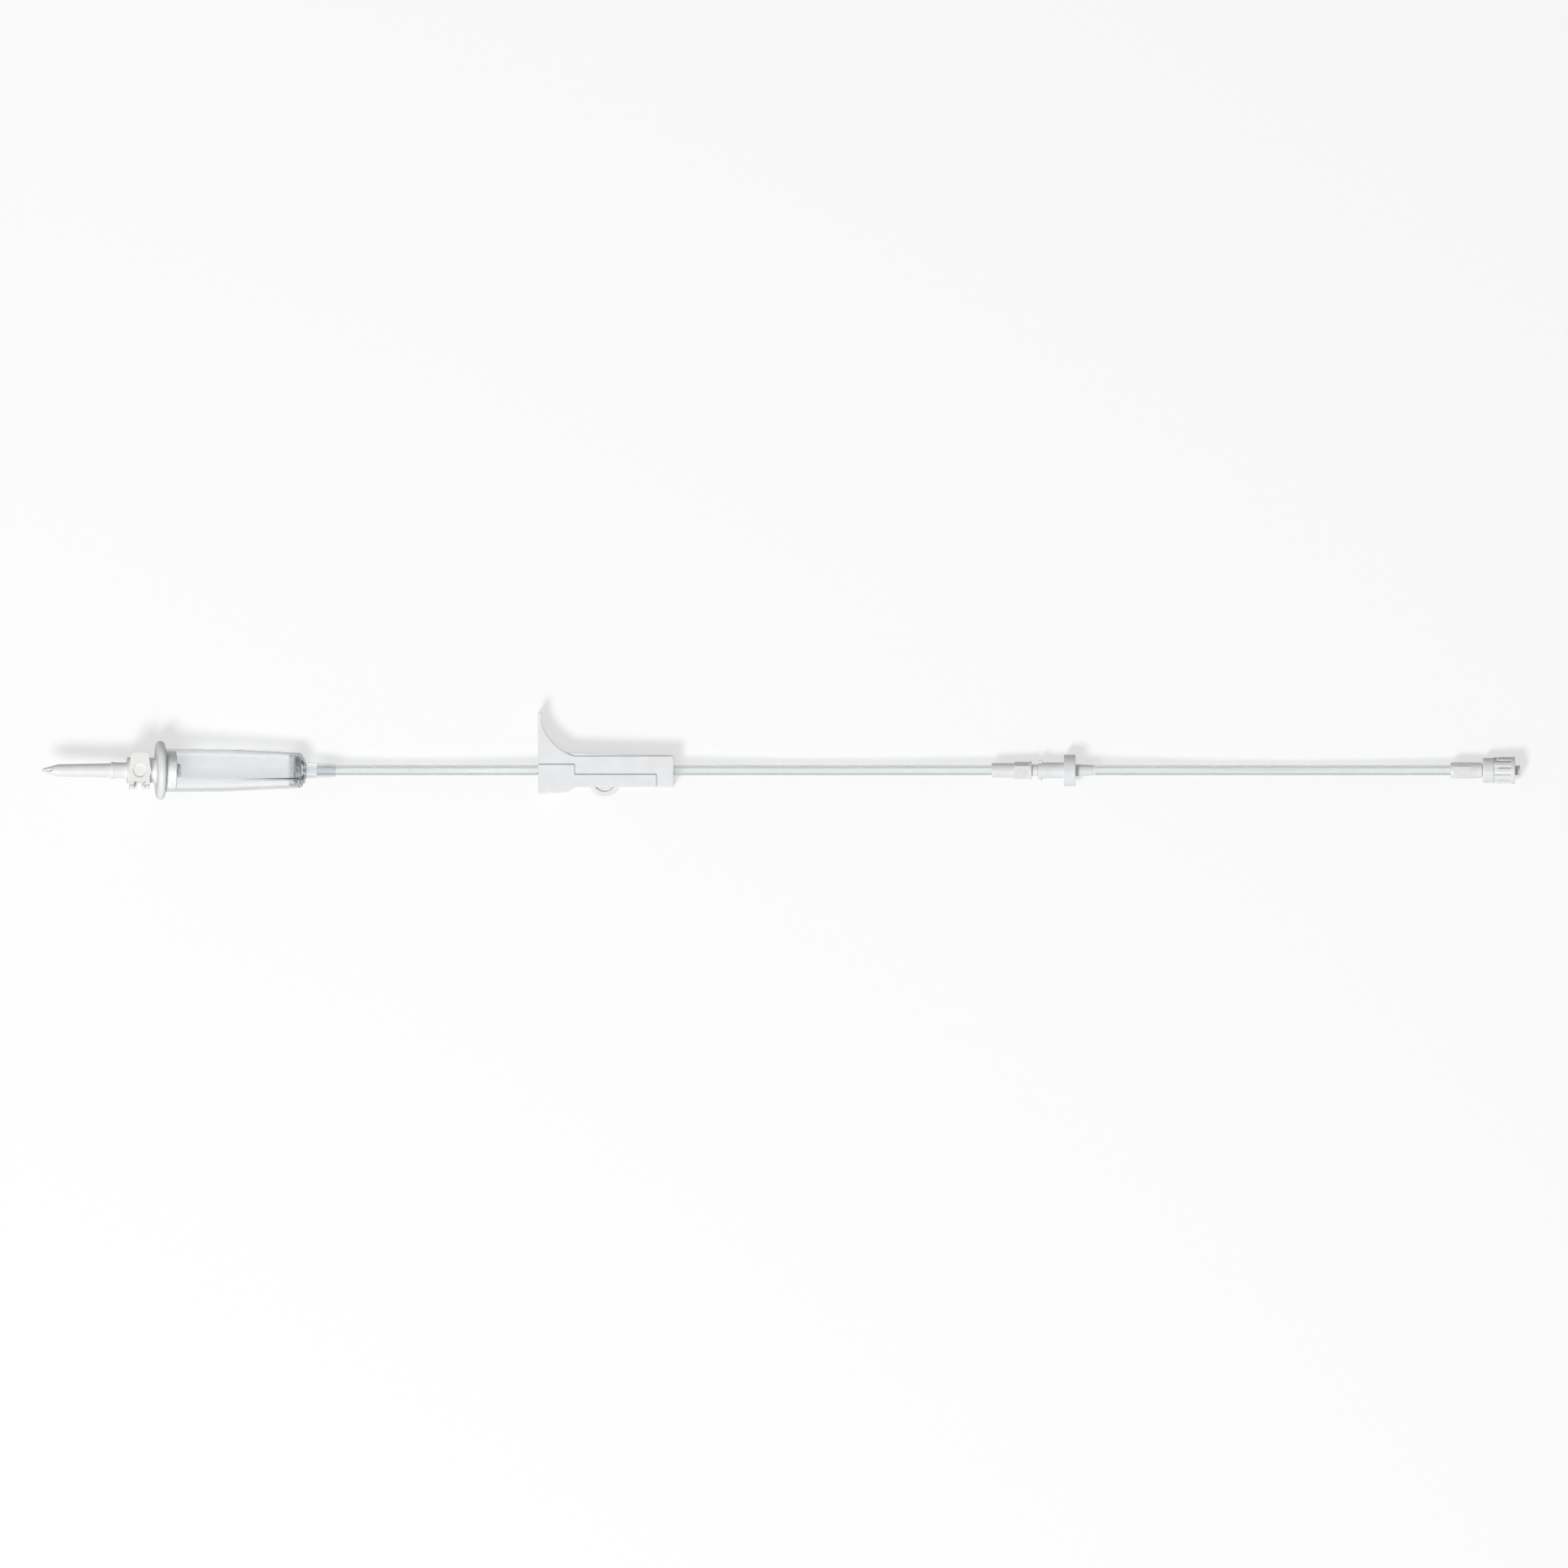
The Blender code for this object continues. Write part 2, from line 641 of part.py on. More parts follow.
def cap_outline():
    """The cap from above: a disc with a thumb tab towards +Y and two legs towards -Y."""
    leg_outside = CAP_LEG_INSIDE + CAP_LEG_WIDTH
    leg_end = HINGE_Y - HINGE_EYE_RADIUS
    tab_corner = (CAP_TAB_HALF_WIDTH, CAP_TAB_REACH)
    side_turn = math.acos((CAP_TAB_HALF_WIDTH + CAP_TAB_NOTCH) / CAP_RADIUS)
    leg_turn = -math.acos(leg_outside / CAP_RADIUS)
    right = rounded(tab_corner, (0.0, CAP_TAB_REACH), (CAP_TAB_HALF_WIDTH, 0.0), CAP_TAB_CORNER)
    right += arc((0.0, 0.0), CAP_RADIUS, side_turn, leg_turn, 6)
    leg_middle = (CAP_LEG_INSIDE + leg_outside) / 2
    right += arc((leg_middle, leg_end + CAP_LEG_WIDTH / 2), CAP_LEG_WIDTH / 2, 0.0, -math.pi, 4)
    foot_radius = CAP_RADIUS + 0.25 * MM
    foot_turn = -math.acos(CAP_LEG_INSIDE / foot_radius)
    right += arc((0.0, 0.0), foot_radius, foot_turn, -math.pi / 2, 3)
    left = [(-x, y) for x, y in reversed(right[:-1])]
    return right + left


def make_vent_cap(parent, material):
    """Hinged cap over the vent, with its origin on the hinge's axis."""
    low = VENT_BOSS_TOP + FACE_GAP
    high = low + CAP_THICKNESS
    hinge = add_frame("vent_cap_hinge_axis", (VENT_STATION, HINGE_Y, HINGE_HEIGHT), parent=parent)
    to_hinge = (0.0, -HINGE_Y, -HINGE_HEIGHT)

    plate = slab(cap_outline(), low, high, flat_place)
    move_mesh(plate, to_hinge)
    cap = add_object("vent_cap", plate, material, hinge)
    plug_low = low - CAP_PLUG_DEPTH
    plug_radius_ = CAP_DIMPLE_RADIUS - GLUE_GAP / 2
    plug = turned_about_z([(plug_low, 0.0), (plug_low, plug_radius_), (high - OVERLAP, plug_radius_), (high - OVERLAP, 0.0)], SMALL)
    move_mesh(plug, to_hinge)
    join(cap, add_object("cap_plug", plug, material, hinge))
    for side in (-1, 1):
        inner, outer = side * CAP_LEG_INSIDE, side * (CAP_LEG_INSIDE + CAP_LEG_WIDTH)
        knuckle = slab(
            capsule((0.0, 0.0), (0.0, high - OVERLAP - HINGE_HEIGHT), HINGE_EYE_RADIUS - 0.02 * MM),
            min(inner, outer),
            max(inner, outer),
            side_place,
        )
        join(cap, add_object(f"cap_knuckle_{side}", knuckle, material, hinge))
    eye_end = CAP_LEG_INSIDE + CAP_LEG_WIDTH + OVERLAP
    eye = rod((-eye_end, 0.0, 0.0), (eye_end, 0.0, 0.0), HINGE_PIN_RADIUS + HINGE_PIN_CLEARANCE, TINY)
    cut(cap, add_object("cap_eye", eye, material, hinge))
    dimple = turned_about_z(
        [
            (high - CAP_DIMPLE_DEPTH, 0.0),
            (high - CAP_DIMPLE_DEPTH, CAP_DIMPLE_RADIUS),
            (high + OVERLAP, CAP_DIMPLE_RADIUS),
            (high + OVERLAP, 0.0),
        ],
        SMALL,
    )
    move_mesh(dimple, to_hinge)
    cut(cap, add_object("cap_dimple", dimple, material, hinge))
    shade_evenly(cap)
    return cap


def make_drop_nozzle(parent, material):
    """Drop former pressed into the lid, with its mouth in the chamber."""
    stem_at = PLUG_END - NOZZLE_STEM_LENGTH
    head_at = PLUG_END + FACE_GAP
    head_end = PLUG_END + NOZZLE_LENGTH
    profile = [
        (stem_at, NOZZLE_BORE_RADIUS),
        (stem_at, NOZZLE_STEM_RADIUS),
        (head_at, NOZZLE_STEM_RADIUS),
        (head_at, NOZZLE_RADIUS),
    ]
    profile += arc((head_end - NOZZLE_CORNER, NOZZLE_RADIUS - NOZZLE_CORNER), NOZZLE_CORNER, math.pi / 2, 0.0, 3)
    profile += [(head_end, NOZZLE_BORE_RADIUS)]
    return add_object("drop_nozzle", turned(profile, SMALL), material, parent)


# Drip chamber


def chamber_radius(station):
    """Outside radius of the chamber's wall at a station."""
    waist = CHAMBER_AT + CHAMBER_WAIST_FROM_MOUTH
    if station <= waist:
        share = (station - CHAMBER_AT) / (waist - CHAMBER_AT)
        return CHAMBER_MOUTH_RADIUS + (CHAMBER_WAIST_RADIUS - CHAMBER_MOUTH_RADIUS) * share**2
    share = (station - waist) / (CHAMBER_END - waist)
    return CHAMBER_WAIST_RADIUS + (CHAMBER_FOOT_RADIUS - CHAMBER_WAIST_RADIUS) * share


def make_drip_chamber(parent, material):
    """Clear chamber, open at both ends, with longitudinal ribs that keep one radius as the wall narrows."""
    waist = CHAMBER_AT + CHAMBER_WAIST_FROM_MOUTH
    stations = [CHAMBER_AT, PLUG_END, (PLUG_END + waist) / 2, waist, (waist + CHAMBER_END) / 2, CHAMBER_END]
    outside = [(x, chamber_radius(x)) for x in stations]
    inside = [(x, radius - CHAMBER_WALL) for x, radius in reversed(outside)]
    chamber = add_object("drip_chamber", turned(outside + inside, FINE), material, parent)

    rib_start = waist
    middle_of_wall = CHAMBER_WALL / 2
    outline = [
        (rib_start, chamber_radius(rib_start) - middle_of_wall),
        (rib_start + OVERLAP, RIB_RADIUS),
        (CHAMBER_END, RIB_RADIUS),
        (CHAMBER_END, chamber_radius(CHAMBER_END) - middle_of_wall),
    ]
    for k in range(RIB_COUNT):
        turn = math.pi / 2 + 2 * math.pi * k / RIB_COUNT

        def place(x, radius, across, turn=turn):
            return (
                x,
                radius * math.sin(turn) + across * math.cos(turn),
                radius * math.cos(turn) - across * math.sin(turn),
            )

        rib = slab(outline, -RIB_WIDTH / 2, RIB_WIDTH / 2, place)
        join(chamber, add_object(f"chamber_rib_{k + 1}", rib, material, parent))
    return chamber


def outlet_rim_radius():
    """The outlet's rim, glued inside the chamber's foot."""
    return CHAMBER_FOOT_RADIUS - CHAMBER_WALL - GLUE_GAP


def filter_radius():
    """The fluid filter's rim, inside the outlet's rim."""
    return outlet_rim_radius() - OUTLET_RIM_WALL - GLUE_GAP


def filter_seat():
    """Station of the ledge that the fluid filter lies on."""
    return DOME_AT + DOME_LENGTH / 3


def make_fluid_filter(parent, material):
    """Filter disc with a raised rim on both faces."""
    end = filter_seat() - FACE_GAP
    start = end - FILTER_THICKNESS
    middle = (start + end) / 2
    rim_inside = filter_radius() - FILTER_RIM_WIDTH
    profile = [
        (middle - FILTER_WEB / 2, 0.0),
        (middle - FILTER_WEB / 2, rim_inside),
        (start, rim_inside),
        (start, filter_radius()),
        (end, filter_radius()),
        (end, rim_inside),
        (middle + FILTER_WEB / 2, rim_inside),
        (middle + FILTER_WEB / 2, 0.0),
    ]
    return add_object("fluid_filter", turned(profile, MEDIUM), material, parent)


def make_chamber_outlet(parent, material):
    """Rim, dome and long cone under the chamber, with the tubing's socket in the cone."""
    rim_at = CHAMBER_END - OUTLET_RIM_LENGTH
    rim_radius = outlet_rim_radius()
    socket_end = OUTLET_END - TUBE_SOCKET_DEPTH
    rise = CHAMBER_FOOT_RADIUS - DOME_END_RADIUS
    dome = [
        (DOME_AT + DOME_LENGTH * math.sin(turn), DOME_END_RADIUS + rise * math.cos(turn))
        for turn in [math.pi / 2 * k / CORNER_STEPS for k in range(CORNER_STEPS + 1)]
    ]
    profile = [(rim_at, rim_radius), (DOME_AT, rim_radius)] + dome
    profile += [
        (DOME_END + OVERLAP, OUTLET_STEP_RADIUS),
        (STEP_END, OUTLET_STEP_RADIUS),
        (CONE_AT, OUTLET_CONE_RADIUS),
        (OUTLET_END, OUTLET_END_RADIUS),
        (OUTLET_END, TUBE_RADIUS + TUBE_GAP),
        (socket_end, TUBE_RADIUS + TUBE_GAP),
        (socket_end, OUTLET_BORE_RADIUS),
        (DOME_END, OUTLET_BORE_RADIUS),
        (filter_seat(), filter_radius() - FILTER_RIM_WIDTH),
        (filter_seat(), rim_radius - OUTLET_RIM_WALL),
        (rim_at, rim_radius - OUTLET_RIM_WALL),
    ]
    return add_object("chamber_outlet", turned(profile, MEDIUM), material, parent)


# Roller clamp


def curve_centre():
    """Centre of the clamp's concave curve, from its two ends and its radius."""
    start = Vector((CLAMP_LIP_THICKNESS, CLAMP_LIP_FOOT))
    end = Vector((CLAMP_CURVE_END, CLAMP_SIDE_TOP))
    half = (end - start) / 2
    away = Vector((-half.y, half.x)).normalized()
    return start + half + away * math.sqrt(CLAMP_CURVE_RADIUS**2 - half.length_squared)


def curve_points(radius, first_x, last_x, steps):
    """Points of the concave curve, or of one beside it, between two stations."""
    centre = curve_centre()
    start = math.asin((first_x - centre.x) / radius)
    end = math.asin((last_x - centre.x) / radius)
    return [
        (
            centre.x + radius * math.sin(start + (end - start) * k / steps),
            centre.y - radius * math.cos(start + (end - start) * k / steps),
        )
        for k in range(steps + 1)
    ]


def wedge_height(x):
    """Inside face of the clamp's back wall, which the roller presses the tubing against."""
    return WEDGE_TOP - max(0.0, x - WEDGE_START) * math.tan(WEDGE_SLOPE)


def ridge_height(x):
    """Outside face of the same wall, which leaves the concave curve where the ridge starts."""
    foot = curve_points(CLAMP_CURVE_RADIUS, CLAMP_RIDGE_START, CLAMP_CURVE_END, 1)[0][1]
    return foot - (x - CLAMP_RIDGE_START) * math.tan(CLAMP_RIDGE_SLOPE)


def side_outline():
    """The clamp's side wall."""
    right = CLAMP_LENGTH
    return (
        [(0.0, CLAMP_LIP_TOP), (0.0, CLAMP_MOUTH_BOTTOM), CLAMP_MOUTH_KNEE, (CLAMP_BOTTOM_START, CLAMP_BOTTOM)]
        + rounded((right, CLAMP_BOTTOM), (0.0, CLAMP_BOTTOM), (right, 0.0), CLAMP_CORNER)
        + rounded((right, CLAMP_SIDE_TOP), (right, 0.0), (0.0, CLAMP_SIDE_TOP), CLAMP_CORNER)
        + curve_points(CLAMP_CURVE_RADIUS, CLAMP_CURVE_END, CLAMP_LIP_THICKNESS, 10)
        + [(CLAMP_LIP_THICKNESS, CLAMP_LIP_TOP)]
    )


def panel_outline():
    """The raised panel that the roller's grooves run behind."""
    step = (PANEL_MOUTH_LENGTH, PANEL_MOUTH_TOP)
    end = (PANEL_END, PANEL_TOP)
    return (
        [(0.0, PANEL_MOUTH_TOP), (0.0, CLAMP_MOUTH_BOTTOM), CLAMP_MOUTH_KNEE, (CLAMP_BOTTOM_START, CLAMP_BOTTOM)]
        + [(PANEL_END, CLAMP_BOTTOM)]
        + rounded(end, (PANEL_END, CLAMP_BOTTOM), (0.0, PANEL_TOP), PANEL_CORNER)
        + [(PANEL_MOUTH_LENGTH, PANEL_TOP)]
        + rounded(step, (PANEL_MOUTH_LENGTH, 0.0), (0.0, PANEL_MOUTH_TOP), PANEL_CORNER)
    )


def ridge_outline():
    """The back wall's narrow sloping ridge, over the side walls' level top."""
    start = CLAMP_RIDGE_START - CLAMP_WALL / 3
    end = CLAMP_LENGTH - CLAMP_CORNER
    return [(start, 0.0), (end, 0.0), (end, ridge_height(end)), (start, ridge_height(start))]


def make_clamp_body(parent, material):
    """Clamp housing: side walls, back wall with its lip, funnel mouth and end wall, open below for the roller."""
    body = add_object(
        "clamp_body", slab(side_outline(), -CLAMP_HALF_WIDTH, CLAMP_HALF_WIDTH, flat_place), material, parent
    )
    soften(body, 0.3 * MM)
    panel = slab(panel_outline(), -CLAMP_PANEL_HALF_WIDTH, CLAMP_PANEL_HALF_WIDTH, flat_place)
    panel = add_object("clamp_panel", panel, material, parent)
    soften(panel, 0.25 * MM)
    join(body, panel)
    ridge = slab(ridge_outline(), -CLAMP_RIDGE_HALF_WIDTH, CLAMP_RIDGE_HALF_WIDTH, flat_place)
    join(body, add_object("clamp_ridge", ridge, material, parent))

    inside = CLAMP_INSIDE_HALF_WIDTH
    inner_radius = CLAMP_CURVE_RADIUS + CLAMP_WALL
    floor = CLAMP_MOUTH_BOTTOM + CLAMP_WALL
    funnel = [(-OVERLAP, floor), (CLAMP_FLOOR_LENGTH, floor + OVERLAP)]
    funnel += curve_points(inner_radius, CLAMP_FLOOR_LENGTH, 0.0, 8)
    funnel += [(-OVERLAP, curve_points(inner_radius, 0.0, 0.0, 1)[0][1])]
    cut(body, add_object("clamp_funnel", slab(funnel, -inside, inside, flat_place), material, parent))

    end = CLAMP_LENGTH - CLAMP_WALL
    below = CLAMP_MOUTH_BOTTOM - CLAMP_WALL
    start = CLAMP_FLOOR_LENGTH - OVERLAP
    channel = [(start, below), (end, below)]
    channel += [(x, wedge_height(x)) for x in (end, WEDGE_START, start)]
    cut(body, add_object("clamp_channel", slab(channel, -inside, inside, flat_place), material, parent))

    hole = rod((end - OVERLAP, 0.0, 0.0), (CLAMP_LENGTH + OVERLAP, 0.0, 0.0), TUBE_HOLE_RADIUS)
    cut(body, add_object("clamp_tube_hole", hole, material, parent))

    groove = capsule(
        roller_centre(-WHEEL_TRAVEL_BACK), roller_centre(WHEEL_TRAVEL_ON), TRUNNION_RADIUS + RUNNING_GAP
    )
    reach = WHEEL_HALF_WIDTH + TRUNNION_REACH + RUNNING_GAP
    cut(body, add_object("clamp_grooves", slab(groove, -reach, reach, flat_place), material, parent))
    shade_evenly(body)
    return body


def roller_centre(travel):
    """Middle of the roller after it has rolled that far from its place at rest."""
    return (
        WHEEL_REST_X + travel * math.cos(WHEEL_PATH_SLOPE),
        WHEEL_REST_Y + travel * math.sin(WHEEL_PATH_SLOPE),
    )


def make_clamp_wheel(parent, material):
    """Roller with a ribbed tread between plain edges, dished faces and trunnions, with its origin on its axle."""
    groove = WHEEL_RADIUS - WHEEL_GROOVE_DEPTH
    tread = ribbed(WHEEL_RIBS, groove)
    dish = WHEEL_HALF_WIDTH - WHEEL_DISH_DEPTH
    half = [
        (WHEEL_HALF_WIDTH + TRUNNION_REACH, 0.0),
        (WHEEL_HALF_WIDTH + TRUNNION_REACH, TRUNNION_RADIUS),
        (dish, TRUNNION_RADIUS),
        (dish, WHEEL_DISH_RADIUS - WHEEL_DISH_DEPTH / 2),
        (WHEEL_HALF_WIDTH, WHEEL_DISH_RADIUS),
        (WHEEL_HALF_WIDTH, WHEEL_RADIUS - OVERLAP / 2),
        (WHEEL_HALF_WIDTH - OVERLAP / 2, WHEEL_RADIUS),
        (WHEEL_TREAD_HALF_WIDTH, WHEEL_RADIUS),
        (WHEEL_TREAD_HALF_WIDTH - WHEEL_GROOVE_DEPTH, WHEEL_RADIUS, tread),
    ]
    other = [(-station[0], *station[1:]) for station in reversed(half)]
    mesh = turned(half + other, 4 * WHEEL_RIBS, math.pi / (4 * WHEEL_RIBS))
    for vertex in mesh.verts:
        vertex.co = Vector((vertex.co.z, vertex.co.y, vertex.co.x))
    wheel = add_object("clamp_wheel", mesh, material, parent)
    wheel.location = (*roller_centre(0.0), 0.0)
    return wheel


# Push-fit connector and check valve


def make_line_connector(parent, material):
    """Sleeve, six-sided grip, ring and neck, with the male cone that seats in the valve's hub."""
    hexagon = many_sided(6)
    hex_at = SLEEVE_LENGTH
    ring_at = hex_at + HEX_LENGTH
    neck_at = ring_at + CONNECTOR_RING_LENGTH
    neck_end = CONNECTOR_LENGTH
    tip = neck_end + PUSH_CONE_LENGTH
    profile = [
        (0.0, TUBE_RADIUS + TUBE_GAP),
        (0.0, SLEEVE_RADIUS),
        (hex_at, SLEEVE_RADIUS),
        (hex_at + HEX_CHAMFER_LENGTH, HEX_CORNER_RADIUS, hexagon),
        (ring_at, HEX_CORNER_RADIUS, hexagon),
        (ring_at, CONNECTOR_RING_RADIUS),
        (neck_at, CONNECTOR_RING_RADIUS),
        (neck_at, CONNECTOR_NECK_RADIUS),
        (neck_end, CONNECTOR_NECK_RADIUS),
        (neck_end, CONE_TIP_RADIUS + CONE_TAPER * PUSH_CONE_LENGTH),
        (tip, CONE_TIP_RADIUS),
        (tip, LUMEN_RADIUS),
        (TUBE_SOCKET_DEPTH, LUMEN_RADIUS),
        (TUBE_SOCKET_DEPTH, TUBE_RADIUS + TUBE_GAP),
    ]
    return add_object("line_connector", turned(profile, SMALL), material, parent)


def hub_bore(depth):
    """Radius of the hub's tapered bore at a depth, round the push-fit cone."""
    widest = CONE_TIP_RADIUS + CONE_TAPER * (PUSH_CONE_LENGTH - FACE_GAP) + GLUE_GAP
    return widest - CONE_TAPER * depth


def make_valve_inlet(parent, material):
    """Valve cup: tapered hub with two lugs, front wall with the membrane's seat, and the rim round the other half."""
    bore_end = PUSH_CONE_LENGTH + FACE_GAP
    face_end = HUB_LENGTH + VALVE_FACE
    rim_end = HUB_LENGTH + VALVE_LENGTH
    chamfer = 0.3 * MM
    profile = [
        (0.0, hub_bore(0.0)),
        (0.0, HUB_RADIUS - chamfer),
        (chamfer, HUB_RADIUS),
        (HUB_LENGTH, HUB_RADIUS),
        (HUB_LENGTH, VALVE_RADIUS - chamfer),
        (HUB_LENGTH + chamfer, VALVE_RADIUS),
        (rim_end - chamfer, VALVE_RADIUS),
        (rim_end, VALVE_RADIUS - chamfer),
        (rim_end, VALVE_RADIUS - VALVE_RIM),
        (face_end, VALVE_RADIUS - VALVE_RIM),
        (face_end, VALVE_SEAT_RADIUS + VALVE_SEAT_HEIGHT),
        (face_end + VALVE_SEAT_HEIGHT, VALVE_SEAT_RADIUS),
        (face_end + VALVE_SEAT_HEIGHT, VALVE_BORE_RADIUS),
        (bore_end, VALVE_BORE_RADIUS),
        (bore_end, hub_bore(bore_end)),
    ]
    inlet = add_object("valve_inlet", turned(profile, MEDIUM), material, parent)
    depth = (hub_bore(0.0) + HUB_RADIUS) / 2
    for side in (-1, 1):
        lug = [
            (0.0, side * depth),
            (0.0, side * (HUB_LUG_RADIUS - chamfer)),
            (chamfer, side * HUB_LUG_RADIUS),
            (HUB_LUG_LENGTH - 2 * chamfer, side * HUB_LUG_RADIUS),
            (HUB_LUG_LENGTH, side * (HUB_LUG_RADIUS - 2 * chamfer)),
            (HUB_LUG_LENGTH, side * depth),
        ]
        mesh = slab(lug, -HUB_LUG_HALF_WIDTH, HUB_LUG_HALF_WIDTH, flat_place)
        join(inlet, add_object(f"hub_lug_{side}", mesh, material, parent))
    return inlet


def membrane_at():
    """Start of the membrane, just off its seat."""
    return HUB_LENGTH + VALVE_FACE + VALVE_SEAT_HEIGHT + FACE_GAP


def make_valve_membrane(parent, material):
    """Flat disc that lifts off its seat for forward flow."""
    start = membrane_at()
    end = start + MEMBRANE_THICKNESS
    profile = [(start, 0.0), (start, MEMBRANE_RADIUS), (end, MEMBRANE_RADIUS), (end, 0.0)]
    return add_object("valve_membrane", turned(profile, MEDIUM), material, parent)


def make_valve_outlet(parent, material):
    """Disc that closes the cup, slotted behind the membrane, with the cone that the tubing leaves from."""
    start = membrane_at() + MEMBRANE_THICKNESS + FACE_GAP
    disc_end = HUB_LENGTH + VALVE_LENGTH
    end = VALVE_BODY_LENGTH
    radius = VALVE_RADIUS - VALVE_RIM - GLUE_GAP
    profile = [
        (start, VALVE_BORE_RADIUS),
        (start, radius),
        (disc_end, radius),
        (disc_end, VALVE_CONE_RADIUS),
        (end, VALVE_CONE_END_RADIUS),
        (end, VALVE_BORE_RADIUS),
    ]
    outlet = add_object("valve_outlet", turned(profile, MEDIUM), material, parent)
    reach = radius - VALVE_SLOT_DEPTH
    half = VALVE_SLOT_WIDTH / 2
    deep = start + VALVE_SLOT_DEPTH
    for name, low, high in (
        ("valve_slot_y", (start - OVERLAP, -reach, -half), (deep, reach, half)),
        ("valve_slot_z", (start - OVERLAP, -half, -reach), (deep, half, reach)),
    ):
        cut(outlet, add_object(name, box_between(low, high), material, parent))
    return outlet


# End connector and lock collar


def make_end_connector(parent, material):
    """Eight-sided grip and barrel, a neck through the collar's back wall, its stop, and the male cone."""
    octagon = many_sided(8)
    grip_at = GRIP_LEAD + 0.3 * MM
    grip_end = grip_at + GRIP_LENGTH
    neck_end = END_BODY_LENGTH + COLLAR_BACK_WALL + FACE_GAP
    stop_end = neck_end + END_STOP_LENGTH
    tip = END_BODY_LENGTH + COLLAR_LENGTH + TIP_PAST_COLLAR
    chamfer = 0.25 * MM
    profile = [
        (0.0, TUBE_RADIUS + TUBE_GAP),
        (0.0, END_BARREL_RADIUS - chamfer),
        (chamfer, END_BARREL_RADIUS),
        (GRIP_LEAD, END_BARREL_RADIUS),
        (grip_at, GRIP_CORNER_RADIUS, octagon),
        (grip_end, GRIP_CORNER_RADIUS, octagon),
        (grip_end + GRIP_RUN_OUT, END_BARREL_RADIUS),
        (END_BODY_LENGTH - FACE_GAP, END_BARREL_RADIUS),
        (END_BODY_LENGTH - FACE_GAP, END_NECK_RADIUS),
        (neck_end, END_NECK_RADIUS),
        (neck_end, END_STOP_RADIUS),
        (stop_end, END_STOP_RADIUS),
        (stop_end, CONE_TIP_RADIUS + CONE_TAPER * (tip - stop_end)),
        (tip - chamfer, CONE_TIP_RADIUS),
        (tip, CONE_TIP_RADIUS - chamfer),
        (tip, LUMEN_RADIUS),
        (TUBE_SOCKET_DEPTH, LUMEN_RADIUS),
        (TUBE_SOCKET_DEPTH, TUBE_RADIUS + TUBE_GAP),
    ]
    return add_object("end_connector", turned(profile, SMALL), material, parent)


def make_lock_collar(parent, material):
    """Ribbed collar that turns on the connector's neck, with its origin on that axis."""
    every_rib = ribbed(COLLAR_RIBS, COLLAR_GROOVE_RADIUS)
    long_ribs = ribbed(COLLAR_RIBS, COLLAR_RADIUS, 2)
    ring_at = COLLAR_LENGTH - COLLAR_RING_LENGTH
    chamfer = 0.3 * MM
    profile = [(0.0, END_NECK_RADIUS + RUNNING_GAP)]
    profile += arc((COLLAR_CORNER, COLLAR_RADIUS - COLLAR_CORNER), COLLAR_CORNER, math.pi, math.pi / 2, 3)
    profile += [
        (COLLAR_LONG_RIB_START, COLLAR_RADIUS),
        (COLLAR_LONG_RIB_START + chamfer, COLLAR_RIB_RADIUS, long_ribs),
        (COLLAR_SHORT_RIB_START, COLLAR_RIB_RADIUS, long_ribs),
        (COLLAR_SHORT_RIB_START + chamfer, COLLAR_RIB_RADIUS, every_rib),
        (ring_at, COLLAR_RIB_RADIUS, every_rib),
        (ring_at, COLLAR_RING_RADIUS),
        (COLLAR_LENGTH - chamfer, COLLAR_RING_RADIUS),
        (COLLAR_LENGTH, COLLAR_RING_RADIUS - chamfer),
        (COLLAR_LENGTH, COLLAR_BORE_RADIUS + chamfer),
        (COLLAR_LENGTH - chamfer, COLLAR_BORE_RADIUS),
        (COLLAR_BACK_WALL, COLLAR_BORE_RADIUS),
        (COLLAR_BACK_WALL, END_NECK_RADIUS + RUNNING_GAP),
    ]
    mesh = turned(profile, COLLAR_SEGMENTS, math.pi / COLLAR_SEGMENTS)
    return add_object("lock_collar", mesh, material, parent)


# Tubing


def smooth_route(points, spacing):
    """Points at about even spacing on a smooth curve through the route's own points."""
    route = [Vector(p) for p in points]
    ends = [2 * route[0] - route[1]] + route + [2 * route[-1] - route[-2]]
    made = []
    for k in range(1, len(ends) - 2):
        before, here, after, beyond = ends[k - 1], ends[k], ends[k + 1], ends[k + 2]
        steps = max(1, round((after - here).length / spacing))
        for s in range(steps):
            t = s / steps
            made.append(
                0.5
                * (
                    2 * here
                    + (after - before) * t
                    + (2 * before - 5 * here + 4 * after - beyond) * t**2
                    + (3 * here - before - 3 * after + beyond) * t**3
                )
            )
    return made + [route[-1]]


def make_tube(name, points, thickness, material):
    """Length of tubing along a route. thickness gives the share of its radius that a point has."""
    route = smooth_route(points, 4 * TUBE_RADIUS)
    data = bpy.data.curves.new(name, "CURVE")
    data.dimensions = "3D"
    data.bevel_depth = TUBE_RADIUS
    data.bevel_resolution = 2
    data.use_fill_caps = True
    spline = data.splines.new("POLY")
    spline.points.add(len(route) - 1)
    for point, place in zip(spline.points, route):
        point.co = (*place, 1.0)
        point.radius = thickness(place)
    data.materials.append(material)
    tube = bpy.data.objects.new(name, data)
    bpy.context.scene.collection.objects.link(tube)
    return tube


def chamber_axis_point(station):
    """World place of a station on the chamber's sloping axis."""
    return (
        SPIKE_TIP_X + station * math.cos(CHAMBER_TILT),
        AXIS_Y,
        SPIKE_TIP_HEIGHT - station * math.sin(CHAMBER_TILT),
    )


